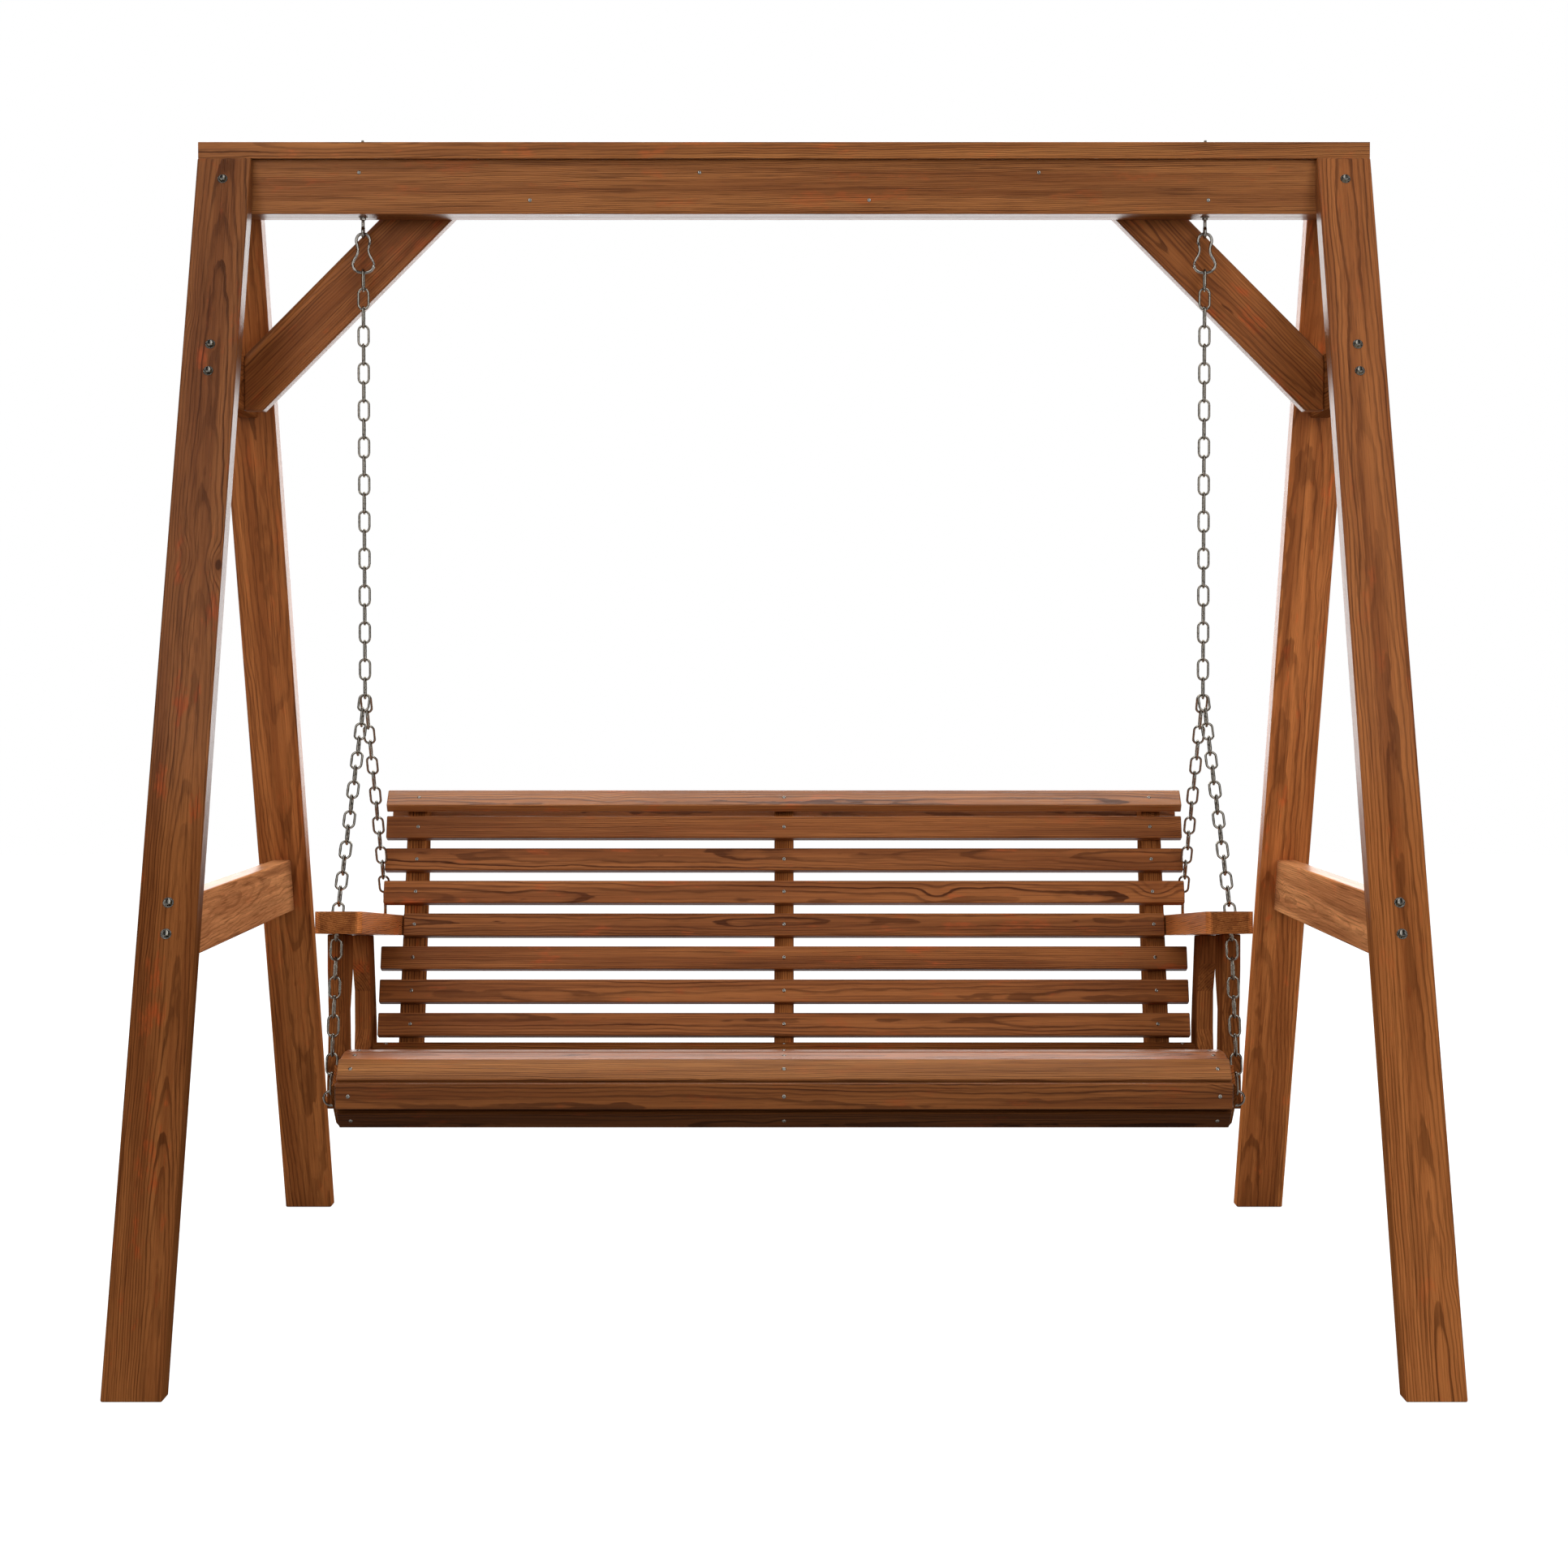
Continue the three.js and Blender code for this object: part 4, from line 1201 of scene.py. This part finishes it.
def make_screws():
    beam = []
    for index, x in enumerate(BEAM_SCREW_X):
        z = BEAM_SCREW_Z[index % 2]
        beam.append((Vector((x, -BEAM_FACE_Y + SCREW_SINK, z)), -Y))
        beam.append((Vector((-x, BEAM_FACE_Y - SCREW_SINK, z)), Y))
    screws("beam_screws", "frame", beam)
    cap = []
    for index in range(CAP_SCREW_COUNT):
        x = CAP_SCREW_START_X + CAP_SCREW_SPACING * index
        cap.append((Vector((x, -CAP_SCREW_Y if index % 2 else CAP_SCREW_Y, CAP_TOP - SCREW_SINK)), Z))
    screws("cap_board_screws", "frame", cap)
    seat = []
    for y, z, tilt in SEAT_FACES.values():
        seat += slat_screws(SEAT_SCREW_X, y, z, slat_normal(tilt))
    screws("seat_slat_screws", "bench", seat)
    back = []
    for index in range(BACK_SLAT_COUNT):
        y, z = back_point(index * BACK_PITCH)
        back += slat_screws(BACK_SCREW_X, y, z, BACK_NORMAL)
    y, z, tilt = CAP_SLAT
    back += slat_screws(BACK_SCREW_X, y, z, slat_normal(tilt))
    screws("back_slat_screws", "bench", back)
    for word, side in SIDES:
        make_side_screws(word, side)


def slat_screws(places, y, z, normal):
    """A screw at each X place on a slat's show face, whose middle is at y and z."""
    return [(bench_point(x, y, z) - normal * SCREW_SINK, normal) for x in places]


def make_side_screws(word, side):
    outward = Vector((side, 0, 0))
    arm = []
    for y in ARM_SCREW_Y:
        arm.append((bench_point(side * ARM_SCREW_X, y, arm_top(y)) - ARM_NORMAL * SCREW_SINK, ARM_NORMAL))
    screws(f"{word}_arm_screws", "bench", arm)
    post_x = side * (POST_OUTER_X - SCREW_SINK)
    post = [(bench_point(post_x, y, z), outward) for y, z in POST_SCREWS_YZ]
    screws(f"{word}_post_screws", "bench", post)
    brace = [(Vector((side * x, BRACE_REAR_Y - SCREW_SINK, z)), Y) for x, z in BRACE_SCREWS_XZ]
    screws(f"{word}_brace_screws", "frame", brace)


# ---- Studio ----

FLOOR_RADIUS = 14
FLOOR_DROP = 0.0004
FLOOR_GREY = 0.26
# The floor's glow as the camera sees it, and as a glossy surface sees it far behind the object.
FLOOR_GLOW = 0.92
FLOOR_MIRROR = 2.05
FLOOR_MIRROR_REACH = (0.4, 3.0)
# The room by direction, X to the right, Y to the rear and Z up, from -1 to 1. Each line says where a light
# starts, where it is full, and its brightness at both. First the soft light.
SOFT_REAR = (-0.35, 0.45, 0.12, 1.0)
SOFT_ABOVE = (0.25, 0.95, 0.0, 0.45)
# Then what glossy surfaces mirror: the rear wall, the ceiling, and a tall strip to each side in front, whose
# edges go from dark to bright.
MIRROR_REAR = (0.86, 0.98, 0.03, 3.4)
MIRROR_ABOVE = (0.86, 0.97, 0.0, 1.2)
STRIP_INNER = (0.26, 0.32)
STRIP_OUTER = (0.62, 0.54)
STRIP_FRONT = (-0.2, -0.5, 0.0, 2.3)
# Lamps: (place, target, width, height, watts, seen in glossy surfaces).
LAMPS = {
    "top_light": ((-0.6, -3.4, 4.8), (0, 0, 1.1), 4.0, 2.4, 70, False),
    "left_light": ((-2.6, -6.4, 3.4), (0, 0, 1.4), 3.0, 3.0, 125, False),
    "right_light": ((3.0, -6.4, 2.8), (0, 0, 1.3), 3.0, 3.0, 165, False),
    "back_light": ((0, 3.4, 3.9), (0, 0, 0.6), 5.0, 1.6, 150, True),
}
CAMERA_PLACE = (0, -5.249, 1.023)
# Degrees that the camera looks below level.
CAMERA_DIP = 1.84
CAMERA_LENS = 71.37
SENSOR_WIDTH = 36


def make_floor():
    bm = bmesh.new()
    bmesh.ops.create_circle(bm, cap_ends=True, segments=FLOOR_SIDES, radius=FLOOR_RADIUS)
    mesh = bpy.data.meshes.new("studio_floor")
    bm.to_mesh(mesh)
    bm.free()
    floor = new_object("studio_floor", mesh)
    floor.location.z = -FLOOR_DROP
    material, g, shader = new_material("floor_white")
    shader.inputs["Base Color"].default_value = (FLOOR_GREY, FLOOR_GREY, FLOOR_GREY, 1)
    shader.inputs["Roughness"].default_value = 0.9
    shader.inputs["Specular IOR Level"].default_value = 0.0
    shader.inputs["Emission Color"].default_value = (1, 1, 1, 1)
    rays = g.node("LightPath").outputs
    behind = g.split(g.node("TexCoord").outputs["Object"])[1]
    reach = g.span(behind, *FLOOR_MIRROR_REACH, 0.0, FLOOR_MIRROR)
    mirrored = g.times(rays["Is Glossy Ray"], reach)
    seen = g.times(rays["Is Camera Ray"], FLOOR_GLOW)
    g.feed(shader.inputs["Emission Strength"], g.plus(seen, mirrored))
    mesh.materials.append(material)


def make_world():
    """Plain white to the camera. The light itself is strong from behind and the sides, weak in front."""
    world = bpy.data.worlds.new("studio")
    world.use_nodes = True
    bpy.context.scene.world = world
    tree = world.node_tree
    g = Graph(tree)
    tree.nodes.clear()
    right, rear, up = g.split(g.node("TexCoord").outputs["Generated"])
    rays = g.node("LightPath").outputs
    soft = g.plus(g.span(rear, *SOFT_REAR), g.span(up, *SOFT_ABOVE))
    sideways = g.math("ABSOLUTE", right)
    strips = g.times(g.span(sideways, *STRIP_INNER), g.span(sideways, *STRIP_OUTER))
    strips = g.times(strips, g.span(rear, *STRIP_FRONT))
    sharp = g.plus(g.span(rear, *MIRROR_REAR), strips)
    sharp = g.plus(sharp, g.span(up, *MIRROR_ABOVE))
    level = g.node("Mix", data_type="FLOAT")
    g.feed(level.inputs[0], rays["Is Glossy Ray"])
    g.feed(level.inputs[2], soft)
    g.feed(level.inputs[3], sharp)
    studio = g.node("Background")
    g.feed(studio.inputs["Strength"], level.outputs[0])
    plain = g.node("Background")
    plain.inputs["Strength"].default_value = 1.0
    for shader in (studio, plain):
        shader.inputs["Color"].default_value = (1, 1, 1, 1)
    choose = g.node("MixShader")
    g.feed(choose.inputs[0], rays["Is Camera Ray"])
    g.feed(choose.inputs[1], studio.outputs[0])
    g.feed(choose.inputs[2], plain.outputs[0])
    g.feed(g.node("OutputWorld").inputs[0], choose.outputs[0])


def make_lamp(name, place, target, width, height, watts, mirrored):
    data = bpy.data.lights.new(name, "AREA")
    data.shape = "RECTANGLE"
    data.size = width
    data.size_y = height
    data.energy = watts
    light = new_object(name, data)
    light.location = place
    light.visible_glossy = mirrored
    light.visible_camera = False
    light.rotation_euler = (Vector(target) - Vector(place)).to_track_quat("-Z", "Y").to_euler()


def make_camera():
    data = bpy.data.cameras.new("camera")
    data.sensor_width = SENSOR_WIDTH
    data.lens = CAMERA_LENS
    camera = new_object("camera", data)
    camera.location = CAMERA_PLACE
    camera.rotation_euler = (math.radians(90 - CAMERA_DIP), 0, 0)
    bpy.context.scene.camera = camera


make_camera()
make_world()
make_floor()
for lamp, settings in LAMPS.items():
    make_lamp(lamp, *settings)
bpy.context.scene.view_settings.view_transform = "Standard"
bpy.context.scene.view_settings.look = "None"

dress_timber()
make_chains()
for word, side in SIDES:
    make_snap_hook(word, side)
    make_beam_eye(word, side)
    make_bench_eyes(word, side)
    make_leg_bolts(word, side)
make_screws()
